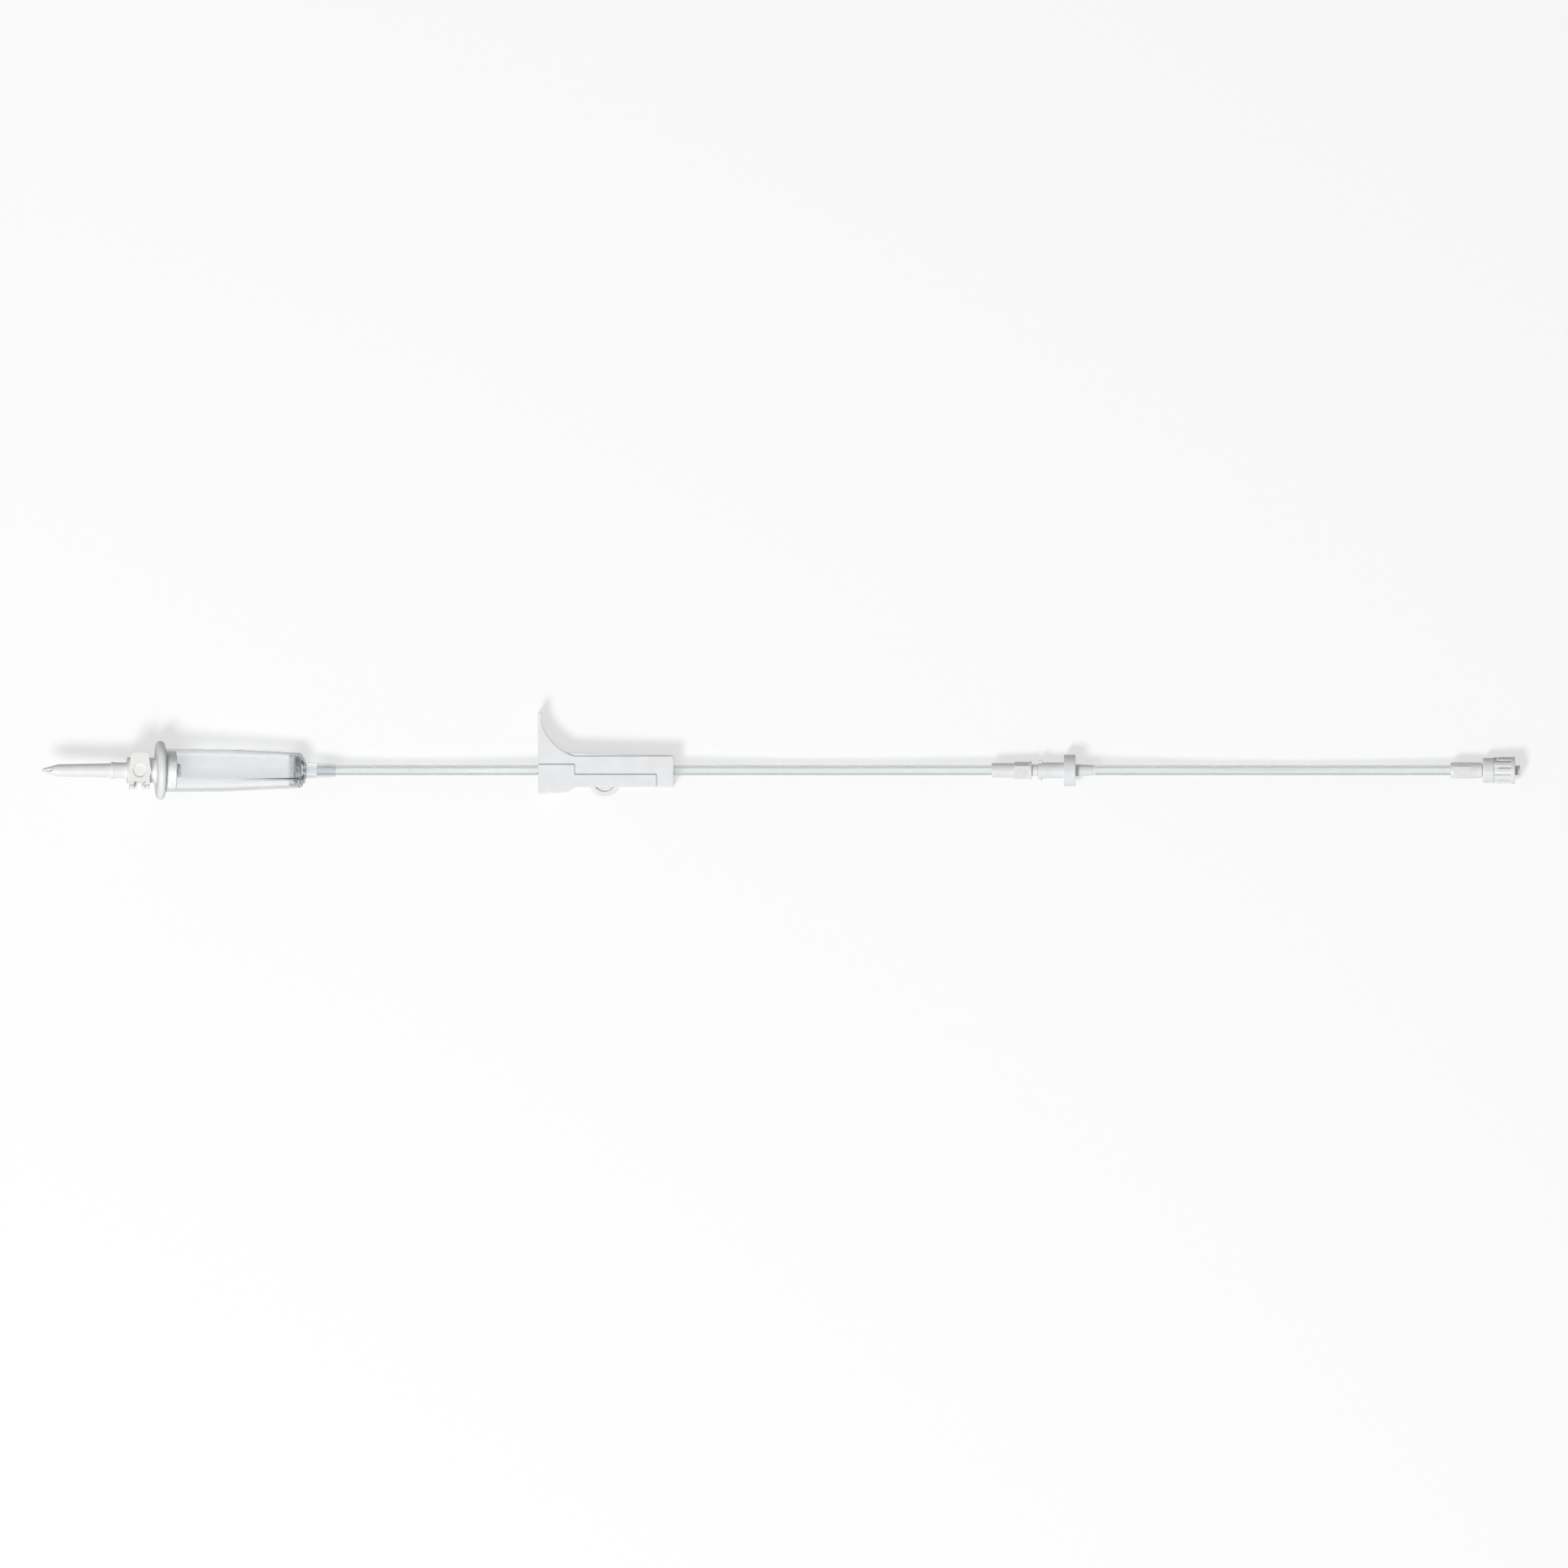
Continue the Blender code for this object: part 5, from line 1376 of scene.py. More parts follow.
@dataclass
class FluidFilter:
    """Filter disc at the chamber's foot.

    Args:
        start: its upper face.
        end: its lower face.
        radius: radius of its rim.
        rim: width of its rim.
        web: thickness of its mesh.
    """

    start: float = 109.2333
    end: float = 111.2333
    radius: float = 6.15
    rim: float = 0.8
    web: float = 0.6

    def build(self) -> None:
        """Builds the disc and hands it over."""
        middle = (self.start + self.end) / 2
        inside = self.radius - self.rim
        profile = [
            (middle - self.web / 2, 0.4),
            (middle - self.web / 2, inside),
            (self.start, inside),
            (self.start, self.radius),
            (self.end, self.radius),
            (self.end, inside),
            (middle + self.web / 2, inside),
            (middle + self.web / 2, 0.4),
        ]
        piece = Bench.turned("mesh_filter", eased(profile, 0.12))
        deliver(piece, CHAMBER_AXIS, PALETTE.mesh, Body.LINE, Slot.MESH, "fluid_filter")


@dataclass
class ChamberOutlet:
    """Rim, dome and cone under the chamber.

    Args:
        rim_at: start of the rim inside the chamber.
        dome_at: start of the dome.
        dome_end: end of the dome.
        cone_at: start of the cone.
        end: the cone's mouth.
        rim_radius: outside radius of the rim.
        dome_radius: outside radius of the dome's start.
        step_radius: radius of the step under the dome.
        cone_radius: outside radius at the cone's start.
        mouth_radius: outside radius at the cone's mouth.
        wall: thickness of the rim's wall.
        socket_radius: radius of the tubing's socket.
        socket_depth: depth of that socket.
        bore_radius: radius of the channel above it.
    """

    rim_at: float = 107.0
    dome_at: float = 110.9
    dome_end: float = 112.8
    cone_at: float = 114.0
    end: float = 126.8
    rim_radius: float = 6.8
    dome_radius: float = 7.6
    step_radius: float = 5.55
    cone_radius: float = 3.4
    mouth_radius: float = 2.72
    wall: float = 0.5
    socket_radius: float = 2.3
    socket_depth: float = 8.0
    bore_radius: float = 1.4

    def dome(self) -> Profile:
        """Outside of the dome."""
        low = self.step_radius + 0.2
        length, depth = self.dome_end - self.dome_at, self.dome_radius - low
        turns = [math.pi / 2 * k / 8 for k in range(9)]
        return [(self.dome_at + length * math.sin(turn), low + depth * math.cos(turn)) for turn in turns]

    def build(self) -> None:
        """Builds the outlet and hands it over."""
        seat = self.dome_at + (self.dome_end - self.dome_at) / 3
        profile = [(self.rim_at, self.rim_radius), (self.dome_at, self.rim_radius)] + self.dome()
        profile += [
            (self.dome_end + 0.3, self.step_radius),
            (self.cone_at - 0.4, self.step_radius),
            (self.cone_at, self.cone_radius),
            (self.end, self.mouth_radius),
            (self.end, self.socket_radius),
            (self.end - self.socket_depth, self.socket_radius),
            (self.end - self.socket_depth, self.bore_radius),
            (self.dome_end, self.bore_radius),
            (seat, self.step_radius - 0.2),
            (seat, self.rim_radius - self.wall),
            (self.rim_at, self.rim_radius - self.wall),
        ]
        piece = Bench.turned("outlet_cone", eased(profile, 0.15, bored=True), bored=True)
        deliver(piece, CHAMBER_AXIS, PALETTE.outlet, Body.LINE, Slot.OUTLET, "chamber_outlet")


# Roller clamp


@dataclass
class RollerClamp:
    """Clamp housing, in its own space: x from its mouth, y from the tubing's line, z from its middle plane.

    Args:
        length: length of the housing.
        half_width: half the width over its side walls.
        panel_half_width: half the width over its raised panels.
        inside: half the width of the channel.
        wall: thickness of the end, floor and curved walls.
        curve_centre: centre of the concave curve.
        curve_radius: radius of that curve.
        curve_at: station where that curve meets the side walls' top.
        top: height of the side walls.
        bottom: height of their lower edge.
        ridge_slope: slope of the back wall's ridge, in degrees.
        wedge_top: height of the back wall's inner face.
        wedge_at: station where that face starts to close in.
        wedge_slope: slope of that face, in degrees.
        lip: height of the lip's end.
        lip_width: thickness of the lip's end.
        mouth_bottom: height of the mouth's lower edge.
        mouth_end: where that edge ends, x and y.
        shoulder: station where the lower edge of the side walls starts.
        mouth_panel: end and height of the raised panel's part beside the mouth.
        long_panel: end and height of its part along the channel.
        ridge_from: stations of the ridge's start and of the height that it starts at.
        ridge_half_width: half the ridge's width.
        channel_at: start of the roller's channel.
        hole: radius of the tubing's hole in the end wall.
        groove: half the width of the roller's grooves.
    """

    length: float = 58.6
    half_width: float = 5.9
    panel_half_width: float = 6.8
    inside: float = 4.6
    wall: float = 1.5
    curve_centre: Pair = (21.9977, 26.6936)
    curve_radius: float = 21.5
    curve_at: float = 15.5
    top: float = 6.2
    bottom: float = -7.2
    ridge_slope: float = 1.45
    wedge_top: float = 6.6
    wedge_at: float = 18.3
    wedge_slope: float = 3.2
    lip: float = 24.9
    lip_width: float = 1.6
    mouth_bottom: float = -10.2
    mouth_end: Pair = (12.8, -9.4)
    shoulder: float = 16.4
    mouth_panel: Pair = (15.8, 2.6)
    long_panel: Pair = (51.1, -1.75)
    ridge_from: Pair = (11.7, 12.2)
    ridge_half_width: float = 5.2
    channel_at: float = 10.1
    hole: float = 2.45
    groove: float = 1.3

    def curve(self, radius: float, first: float, last: float, steps: int) -> Outline:
        """Points of the concave curve, or of one beside it.

        Args:
            radius: radius of the curve.
            first: station where it starts.
            last: station where it ends.
            steps: number of its facets.

        Returns:
            The points.
        """
        x, y = self.curve_centre
        start = math.degrees(math.asin((first - x) / radius)) - 90
        end = math.degrees(math.asin((last - x) / radius)) - 90
        return arc((x, y), radius, start, end, steps)

    def wedge(self, x: float) -> float:
        """Height of the back wall's inner face.

        Args:
            x: the station.

        Returns:
            The height.
        """
        return self.wedge_top - max(0.0, x - self.wedge_at) * math.tan(math.radians(self.wedge_slope))

    def underside(self) -> Outline:
        """Lower edge of the mouth, which the side walls and the panels share."""
        return [(0.0, self.mouth_bottom), self.mouth_end, (self.shoulder, self.bottom)]

    def side(self) -> Outline:
        """Outline of a side wall."""
        right, corner = self.length, 0.9
        return (
            [(0.0, self.lip)]
            + self.underside()
            + rounded_corner((right, self.bottom), (0.0, self.bottom), (right, 0.0), corner)
            + rounded_corner((right, self.top), (right, 0.0), (0.0, self.top), corner)
            + self.curve(self.curve_radius, self.curve_at, self.lip_width, 28)
            + [(self.lip_width, self.lip)]
        )

    def panel(self) -> Outline:
        """Outline of a raised panel."""
        (near, high), (far, low) = self.mouth_panel, self.long_panel
        corner = 0.75
        return (
            [(0.0, high)]
            + self.underside()
            + [(far, self.bottom)]
            + rounded_corner((far, low), (far, self.bottom), (0.0, low), corner)
            + [(near, low)]
            + rounded_corner((near, high), (near, 0.0), (0.0, high), corner)
        )

    def ridge(self) -> Outline:
        """Outline of the back wall's ridge."""
        start, high = self.ridge_from
        foot = self.curve(self.curve_radius, high, self.curve_at, 1)[0][1]
        fall = math.tan(math.radians(self.ridge_slope))
        ends = (start, self.length - 0.9)
        tops = [(x, foot - (x - high) * fall) for x in reversed(ends)]
        return [(ends[0], 0.0), (ends[1], 0.0)] + tops

    def housing(self) -> Object:
        """Side walls, panels and ridge, still solid."""
        body = Bench.slab("clamp_housing", self.side(), -self.half_width, self.half_width)
        Bench.soften(body, 0.4, segments=4)
        panel = Bench.slab("panel", self.panel(), -self.panel_half_width, self.panel_half_width)
        Bench.soften(panel, 0.45, segments=4)
        Bench.combine(body, panel, Step.ADD)
        ridge = Bench.slab("ridge", self.ridge(), -self.ridge_half_width, self.ridge_half_width)
        Bench.soften(ridge, 0.2)
        Bench.combine(body, ridge, Step.ADD)
        return body

    def hollow(self, body: Object) -> None:
        """Takes out the funnel, the roller's channel, the tubing's hole and the roller's grooves.

        Args:
            body: the housing.
        """
        past, below = 0.4, -12.0
        floor = self.mouth_bottom + self.wall
        inner = self.curve_radius + self.wall
        mouth = self.channel_at + past
        funnel = [(-past, floor), (mouth, floor + 0.4)] + self.curve(inner, mouth, 0.0, 24)
        funnel.append((-past, funnel[-1][1]))
        end = self.length - self.wall
        channel = [(self.channel_at, below), (end, below)]
        channel += [(x, self.wedge(x)) for x in (end, self.wedge_at, self.channel_at)]
        for outline in (funnel, channel):
            Bench.combine(body, Bench.slab("hollow", outline, -self.inside, self.inside), Step.TAKE)
        hole = Bench.bar("hole", self.hole, (end - past, 0.0, 0.0), (self.length + past, 0.0, 0.0))
        Bench.combine(body, hole, Step.TAKE)
        roller = Roller()
        groove = capsule(*(roller.centre(travel) for travel in roller.travel), self.groove)
        Bench.combine(body, Bench.slab("groove", groove, -6.0, 6.0), Step.TAKE)

    def build(self) -> None:
        """Builds the housing and hands it over."""
        body = self.housing()
        self.hollow(body)
        deliver(body, CLAMP_AXIS, PALETTE.clamp, Body.CLAMP, Slot.CLAMP, "clamp_body")


@dataclass
class Roller:
    """Roller with a ribbed tread, dished faces and trunnions.

    Args:
        radius: radius of the tread.
        half_width: half the width of the tread.
        tread: half the width of the ribbed band.
        groove: depth between the ribs.
        ribs: number of ribs.
        dish_radius: radius of the dish in each face.
        dish: depth of the dish.
        trunnion: radius of the trunnions.
        reach: how far a trunnion stands out of its face.
        slope: slope of the roller's path, in degrees.
        rest: place of the roller's middle at rest.
        travel: limits of its travel from there.
    """

    radius: float = 7.0
    half_width: float = 4.3
    tread: float = 3.5
    groove: float = 0.45
    ribs: int = 18
    dish_radius: float = 5.35
    dish: float = 0.9
    trunnion: float = 1.1
    reach: float = 1.5
    slope: float = 3.0
    rest: Pair = (28.7, -4.2)
    travel: Pair = (-10.4, 20.0)

    def centre(self, travel: float) -> Pair:
        """Middle of the roller on its way.

        Args:
            travel: how far it has rolled from rest.

        Returns:
            The middle, x and y.
        """
        turn = math.radians(self.slope)
        return (self.rest[0] + travel * math.cos(turn), self.rest[1] + travel * math.sin(turn))

    def cut_tread(self, wheel: Object) -> None:
        """Cuts the grooves between the ribs, in a band between two plain edges.

        Args:
            wheel: the roller, in edit mode.
        """
        x, y = self.rest
        for z in (-self.tread, self.tread):
            bpy.ops.mesh.select_all(action="SELECT")
            bpy.ops.mesh.bisect(plane_co=(0.0, 0.0, z * MM), plane_no=(0.0, 0.0, 1.0))

        def in_groove(centre: Vector, normal: Vector) -> bool:
            """Whether a face is in a groove.

            Args:
                centre: its centre.
                normal: its normal.

            Returns:
                True for every second stretch of the tread.
            """
            turn = math.atan2(centre.y - y, centre.x - x) / WHOLE_TURN * self.ribs
            on_tread = math.hypot(centre.y - y, centre.x - x) > self.radius - 0.2
            return on_tread and abs(centre.z) < self.tread and turn % 1.0 < 0.5

        Bench.faces_where(wheel, in_groove)
        bpy.ops.mesh.inset(thickness=0.08 * MM, depth=-self.groove * MM, use_even_offset=True)

    def dish_faces(self, wheel: Object) -> None:
        """Shapes the dish and the trunnion on each side.

        Args:
            wheel: the roller, in edit mode.
        """
        x, y = self.rest
        edge, slant = 0.2, 0.45
        steps = [
            (self.radius - self.dish_radius, 0.0),
            (slant, -self.dish),
            (self.dish_radius - slant - self.trunnion, 0.0),
            (0.0, self.dish + self.reach - edge),
            (edge, edge),
        ]
        for side in (-1, 1):
            Bench.faces_where(
                wheel,
                lambda centre, normal, side=side: normal.z * side > 0.9
                and math.hypot(centre.x - x, centre.y - y) < 1.0,
            )
            for thickness, depth in steps:
                bpy.ops.mesh.inset(thickness=thickness * MM, depth=depth * MM)

    def build(self) -> None:
        """Builds the roller and hands it over."""
        x, y = self.rest
        ends = [(x, y, z) for z in (-self.half_width, self.half_width)]
        wheel = Bench.bar("ribbed_roller", self.radius, *ends, 6 * self.ribs)
        Bench.soften(wheel, 0.25)
        Bench.edit(wheel)
        self.dish_faces(wheel)
        self.cut_tread(wheel)
        Bench.close()
        deliver(wheel, CLAMP_AXIS, PALETTE.wheel, Body.ROLLER, Slot.WHEEL, "clamp_wheel")


# Connectors and valve


def faceted(
    envelope: Profile, span: Pair, radius: float, core: float, sides: int, edge: float = 0.0
) -> Object:
    """Many-sided grip whose corners are trimmed to a turned envelope.

    Args:
        envelope: stations of x and radius.
        span: start and end of its facets.
        radius: radius of its corners.
        core: radius of the hole through it.
        sides: number of its sides.
        edge: width of the rounding between them.

    Returns:
        The grip.
    """
    past = (span[0] - 2.0, span[1] + 2.0)
    along, past = ([(x, 0.0, 0.0) for x in ends] for ends in (span, past))
    grip = Bench.bar("grip", radius, *along, sides, math.pi / sides)
    if edge:
        Bench.soften(grip, edge)
    Bench.combine(grip, Bench.turned("envelope", envelope, MEDIUM), Step.KEEP_COMMON)
    Bench.combine(grip, Bench.bar("core", core, *past), Step.TAKE)
    return grip


@dataclass
class LineConnector:
    """Push-fit connector at the end of the long tubing.

    Args:
        socket_radius: radius of the tubing's socket.
        socket_depth: depth of that socket.
        lumen: radius of the channel behind it.
        sleeve_radius: radius of the sleeve.
        grip_at: start of the six-sided grip.
        ring_at: start of the ring behind the grip.
        neck_at: start of the neck.
        neck_end: end of the neck, at the valve's hub.
        ring_radius: radius of the ring.
        neck_radius: radius of the neck.
        corner_radius: radius of the grip's corners.
        core_radius: radius that the grip's facets start from.
        cone_length: length of the cone in the hub.
        tip_radius: radius of the cone's tip.
        taper: growth of the cone's radius along its length.
    """

    socket_radius: float = 2.3
    socket_depth: float = 8.0
    lumen: float = 1.1
    sleeve_radius: float = 3.1
    grip_at: float = 9.6
    ring_at: float = 16.1
    neck_at: float = 17.2
    neck_end: float = 19.7
    ring_radius: float = 3.85
    neck_radius: float = 2.55
    corner_radius: float = 3.7
    core_radius: float = 2.9
    cone_length: float = 7.5
    tip_radius: float = 2.08
    taper: float = 0.03

    def grip(self) -> Object:
        """Six-sided grip, with chamfered corners."""
        start, end = self.grip_at - 0.1, self.ring_at + 0.3
        core, wide = self.core_radius, self.corner_radius + 0.1
        chamfer = [(start, core), (start, core + 0.15), (start + 0.7, wide), (end, wide), (end, core)]
        return faceted(chamfer, (start + 0.1, end - 0.1), self.corner_radius, core, 6, edge=0.12)

    def build(self) -> None:
        """Builds the connector and hands it over."""
        tip = self.neck_end + self.cone_length
        profile = [
            (0.0, self.socket_radius),
            (0.0, self.sleeve_radius),
            (self.ring_at, self.sleeve_radius),
            (self.ring_at, self.ring_radius),
            (self.neck_at, self.ring_radius),
            (self.neck_at, self.neck_radius),
            (self.neck_end, self.neck_radius),
            (self.neck_end, self.tip_radius + self.taper * self.cone_length),
            (tip, self.tip_radius),
            (tip, self.lumen),
            (self.socket_depth, self.lumen),
            (self.socket_depth, self.socket_radius),
        ]
        piece = Bench.turned("push_fit_connector", eased(profile, 0.15, bored=True), MEDIUM, bored=True)
        Bench.combine(piece, self.grip(), Step.ADD)
        deliver(piece, CONNECTOR_AXIS, PALETTE.connector, Body.LINE, Slot.CONNECTOR, "line_connector")


@dataclass
class CheckValve:
    """Check valve: cup with a hub, membrane, and closing disc with a cone.

    Args:
        hub_radius: radius of the hub.
        hub_length: length of the hub.
        radius: radius of the disc.
        thickness: length of the disc.
        face: thickness of the cup's wall.
        rim: thickness of the cup's rim.
        bore: radius of the channel.
        seat: radii of the membrane's seat, at its foot and at its top.
        seat_height: height of that seat.
        mouth: inside radius at the hub's mouth.
        cone_depth: depth of the hub's cone.
        taper: growth of a cone's radius along its length.
        lug_reach: how far a lug stands out from the axis.
        lug_length: length of a lug.
        lug_half_width: half the width of a lug.
        membrane_radius: radius of the membrane.
        membrane: thickness of the membrane.
        cone_length: length of the outlet's cone.
        cone_root: radius of that cone at the disc.
        cone_tip: radius of that cone at its end.
    """

    hub_radius: float = 3.38
    hub_length: float = 11.1
    radius: float = 6.8
    thickness: float = 5.0
    face: float = 1.6
    rim: float = 0.9
    bore: float = 1.2
    seat: Pair = (2.4, 2.0)
    seat_height: float = 0.4
    mouth: float = 2.446
    cone_depth: float = 7.8
    taper: float = 0.03
    lug_reach: float = 4.3
    lug_length: float = 1.8
    lug_half_width: float = 1.6
    membrane_radius: float = 4.2
    membrane: float = 0.8
    cone_length: float = 8.0
    cone_root: float = 2.65
    cone_tip: float = 2.2

    def inlet(self) -> Object:
        """Cup with its hub, seat and two lugs."""
        face = self.hub_length + self.face
        end = self.hub_length + self.thickness
        profile = [
            (0.0, self.mouth),
            (0.0, self.hub_radius),
            (self.hub_length, self.hub_radius),
            (self.hub_length, self.radius),
            (end, self.radius),
            (end, self.radius - self.rim),
            (face, self.radius - self.rim),
            (face, self.seat[0]),
            (face + self.seat_height, self.seat[1]),
            (face + self.seat_height, self.bore),
            (self.cone_depth, self.bore),
            (self.cone_depth, self.mouth - self.taper * self.cone_depth),
        ]
        piece = Bench.turned("valve_cup", eased(profile, 0.22, bored=True), bored=True)
        inner, outer, length = self.hub_radius - 0.48, self.lug_reach, self.lug_length
        outline = [(0.0, inner), (length, inner), (length, outer), (0.0, outer)]
        lug = Bench.slab("lug", outline, -self.lug_half_width, self.lug_half_width)
        Bench.soften(lug, 0.4)
        Bench.repeat(piece, lug, [spun(0.0), spun(0.5)])
        return piece

    def disc(self) -> Object:
        """Membrane disc."""
        start = self.hub_length + self.face + 0.7
        profile = [
            (start, 0.3),
            (start, self.membrane_radius),
            (start + self.membrane, self.membrane_radius),
            (start + self.membrane, 0.3),
        ]
        return Bench.turned("valve_flap", eased(profile, 0.2), MEDIUM)

    def outlet(self) -> Object:
        """Closing disc, slotted behind the membrane, and its cone."""
        start = self.hub_length + self.face + 1.0 + self.membrane
        end = self.hub_length + self.thickness
        radius = self.radius - self.rim - 0.15
        profile = [
            (start, self.bore),
            (start, radius),
            (end, radius),
            (end, self.cone_root),
            (end + self.cone_length, self.cone_tip),
            (end + self.cone_length, self.bore),
        ]
        piece = Bench.turned("valve_outlet_cone", eased(profile, 0.15, bored=True), bored=True)
        reach, half = radius - 0.6, 0.6
        corner, cross = [(reach, -half), (reach, half), (half, half)], []
        for _ in range(4):
            cross += corner
            corner = [(-v, u) for u, v in corner]
        slots = Bench.slab("slots", cross, start - 0.4, start + 0.6, Plane.CROSS)
        Bench.combine(piece, slots, Step.TAKE)
        return piece

    def build(self) -> None:
        """Builds the three pieces and hands them over."""
        deliver(self.inlet(), VALVE_AXIS, PALETTE.valve, Body.LINE, Slot.VALVE, "valve_inlet")
        deliver(self.disc(), VALVE_AXIS, PALETTE.silicone, Body.LINE, Slot.SILICONE, "valve_membrane")
        deliver(self.outlet(), VALVE_AXIS, PALETTE.valve, Body.LINE, Slot.VALVE, "valve_outlet")


@dataclass
class EndConnector:
    """Male connector at the patient's end.

    Args:
        socket_radius: radius of the tubing's socket.
        socket_depth: depth of that socket.
        lumen: radius of the channel behind it.
        barrel_radius: radius of the barrel.
        corner_radius: radius of the eight-sided grip's corners.
        core_radius: radius that the grip's facets start from.
        grip_from: start of the grip.
        grip_to: end of the grip.
        length: length up to the collar.
        neck_radius: radius of the neck in the collar's back wall.
        stop_radius: radius of the stop behind that wall.
        stop_at: start of the stop, past the start of the collar.
        stop_length: length of the stop.
        collar_length: length of the collar.
        past: how far the tip stands out of the collar.
        tip_radius: radius of the tip.
        taper: growth of the cone's radius along its length.
    """

    socket_radius: float = 2.3
    socket_depth: float = 8.0
    lumen: float = 1.1
    barrel_radius: float = 3.35
    corner_radius: float = 3.75
    core_radius: float = 2.9
    grip_from: float = 0.7
    grip_to: float = 10.1
    length: float = 13.85
    neck_radius: float = 2.6
    stop_radius: float = 3.3
    stop_at: float = 1.8
    stop_length: float = 1.0
    collar_length: float = 14.0
    past: float = 2.2
    tip_radius: float = 2.08
    taper: float = 0.03

    def grip(self) -> Object:
        """Eight-sided grip whose facets run out on the barrel in points."""
        start, end = self.grip_from, self.grip_to
        core, wide = self.core_radius, self.corner_radius + 0.03
        rise = [(start, core), (start, core + 0.4), (start + 1.8, wide)]
        fall = [(end - 2.4, wide), (end, core + 0.3), (end, core)]
        return faceted(rise + fall, (start - 0.1, end - 0.2), self.corner_radius, core, 8)

    def build(self) -> None:
        """Builds the connector and hands it over."""
        back = self.length + self.stop_at
        cone = back + self.stop_length
        tip = self.length + self.collar_length + self.past
        profile = [
            (0.0, self.socket_radius),
            (0.0, self.barrel_radius),
            (self.length - 0.3, self.barrel_radius),
            (self.length - 0.3, self.neck_radius),
            (back, self.neck_radius),
            (back, self.stop_radius),
            (cone, self.stop_radius),
            (cone, self.tip_radius + self.taper * (tip - cone)),
            (tip, self.tip_radius),
            (tip, self.lumen),
            (self.socket_depth, self.lumen),
            (self.socket_depth, self.socket_radius),
        ]
        piece = Bench.turned("male_connector", eased(profile, 0.2, bored=True), MEDIUM, bored=True)
        Bench.combine(piece, self.grip(), Step.ADD)
        deliver(piece, END_AXIS, PALETTE.connector, Body.LINE, Slot.CONNECTOR, "end_connector")


@dataclass
class LockCollar:
    """Ribbed collar with an internal thread, which turns on the connector's neck.

    Args:
        length: length of the collar.
        radius: radius of its plain part.
        groove_radius: radius between its ribs.
        rib_radius: radius of its ribs.
        ring_radius: radius of the ring at its mouth.
        ring_length: length of that ring.
        bore_radius: radius of its inside.
        neck_hole: radius of the hole in its back wall.
        back_wall: thickness of that wall.
        ribs: number of ribs.
        rib_width: width of a rib.
        long_start: start of every other rib.
        short_start: start of the ribs between them.
        pitch: lead of the thread.
        thread_at: start of the thread, past the back wall.
        thread_depth: height of the thread.
        thread_foot: half the width of the thread's foot.
        thread_crest: half the width of its crest.
        thread_turns: length of each of its two starts, in turns.
    """

    length: float = 14.0
    radius: float = 5.37
    groove_radius: float = 4.8
    rib_radius: float = 5.65
    ring_radius: float = 5.84
    ring_length: float = 1.8
    bore_radius: float = 4.0
    neck_hole: float = 2.8
    back_wall: float = 1.5
    ribs: int = 12
    rib_width: float = 1.45
    long_start: float = 4.7
    short_start: float = 6.1
    pitch: float = 5.0
    thread_at: float = 4.2
    thread_depth: float = 0.45
    thread_foot: float = 0.55
    thread_crest: float = 0.12
    thread_turns: float = 1.35

    def shell(self) -> Object:
        """The collar without its ribs."""
        ring = self.length - self.ring_length
        corner = [(0.0, self.neck_hole), (0.0, self.radius), (self.long_start, self.radius)]
        front = eased(corner, 0.7, steps=6)
        profile = front + [
            (self.long_start + 0.25, self.groove_radius),
            (ring, self.groove_radius),
            (ring, self.ring_radius),
            (self.length, self.ring_radius),
            (self.length, self.bore_radius),
            (self.back_wall, self.bore_radius),
            (self.back_wall, self.neck_hole),
        ]
        shell = front[:-1] + eased(profile[len(front) - 1 :], 0.18)
        return Bench.turned("lock_collar_shell", shell, bored=True)

    def rib(self, start: float) -> Object:
        """Rib with a round end towards the tubing.

        Args:
            start: start of the rib.

        Returns:
            The rib, over the axis.
        """
        end = self.length - self.ring_length + 0.3
        half = self.rib_width / 2
        outline = arc((start + half, 0.0), half, 270, 90, 10) + [(end, half), (end, -half)]
        rib = Bench.slab("rib", outline, self.groove_radius - 0.4, self.rib_radius)
        Bench.soften(rib, 0.14, segments=2)
        return rib

    def thread(self) -> Object:
        """Two-start thread inside the collar."""
        root, crest = self.bore_radius + 0.06, self.bore_radius - self.thread_depth
        x, foot, flat = self.back_wall + self.thread_at, self.thread_foot, self.thread_crest
        section = [(x - foot, root), (x - flat, crest), (x + flat, crest), (x + foot, root)]
        ridge = Bench.slab("collar_thread", section, 0.0, 0.01, Plane.LENGTHWISE)
        Bench.edit(ridge, select=False)
        Bench.faces_where(ridge, lambda centre, normal: normal.y > -0.9)
        bpy.ops.mesh.delete(type="FACE")
        Bench.close()
        facets, rise = 84, self.pitch * self.thread_turns * MM
        angle = WHOLE_TURN * self.thread_turns
        Bench.modify(
            ridge, "SCREW", axis="X", angle=angle, screw_offset=rise, steps=facets, render_steps=facets
        )
        Bench.edit(ridge)
        bpy.ops.mesh.remove_doubles(threshold=10 * SEAM)
        Bench.seal()
        Bench.pick(ridge, Bench.copied(ridge, spun(0.5)))
        bpy.context.view_layer.objects.active = ridge
        bpy.ops.object.join()
        return ridge

    def build(self) -> None:
        """Builds the collar and its thread and hands them over."""
        shell = self.shell()
        for first, start in ((0, self.short_start), (1, self.long_start + 0.1)):
            moves = [spun(-k / self.ribs) for k in range(first, self.ribs, 2)]
            Bench.repeat(shell, self.rib(start), moves)
        deliver(shell, COLLAR_AXIS, PALETTE.collar, Body.COLLAR, Slot.COLLAR, "lock_collar")
        deliver(self.thread(), COLLAR_AXIS, PALETTE.collar, Body.COLLAR, Slot.COLLAR)


# Tubing


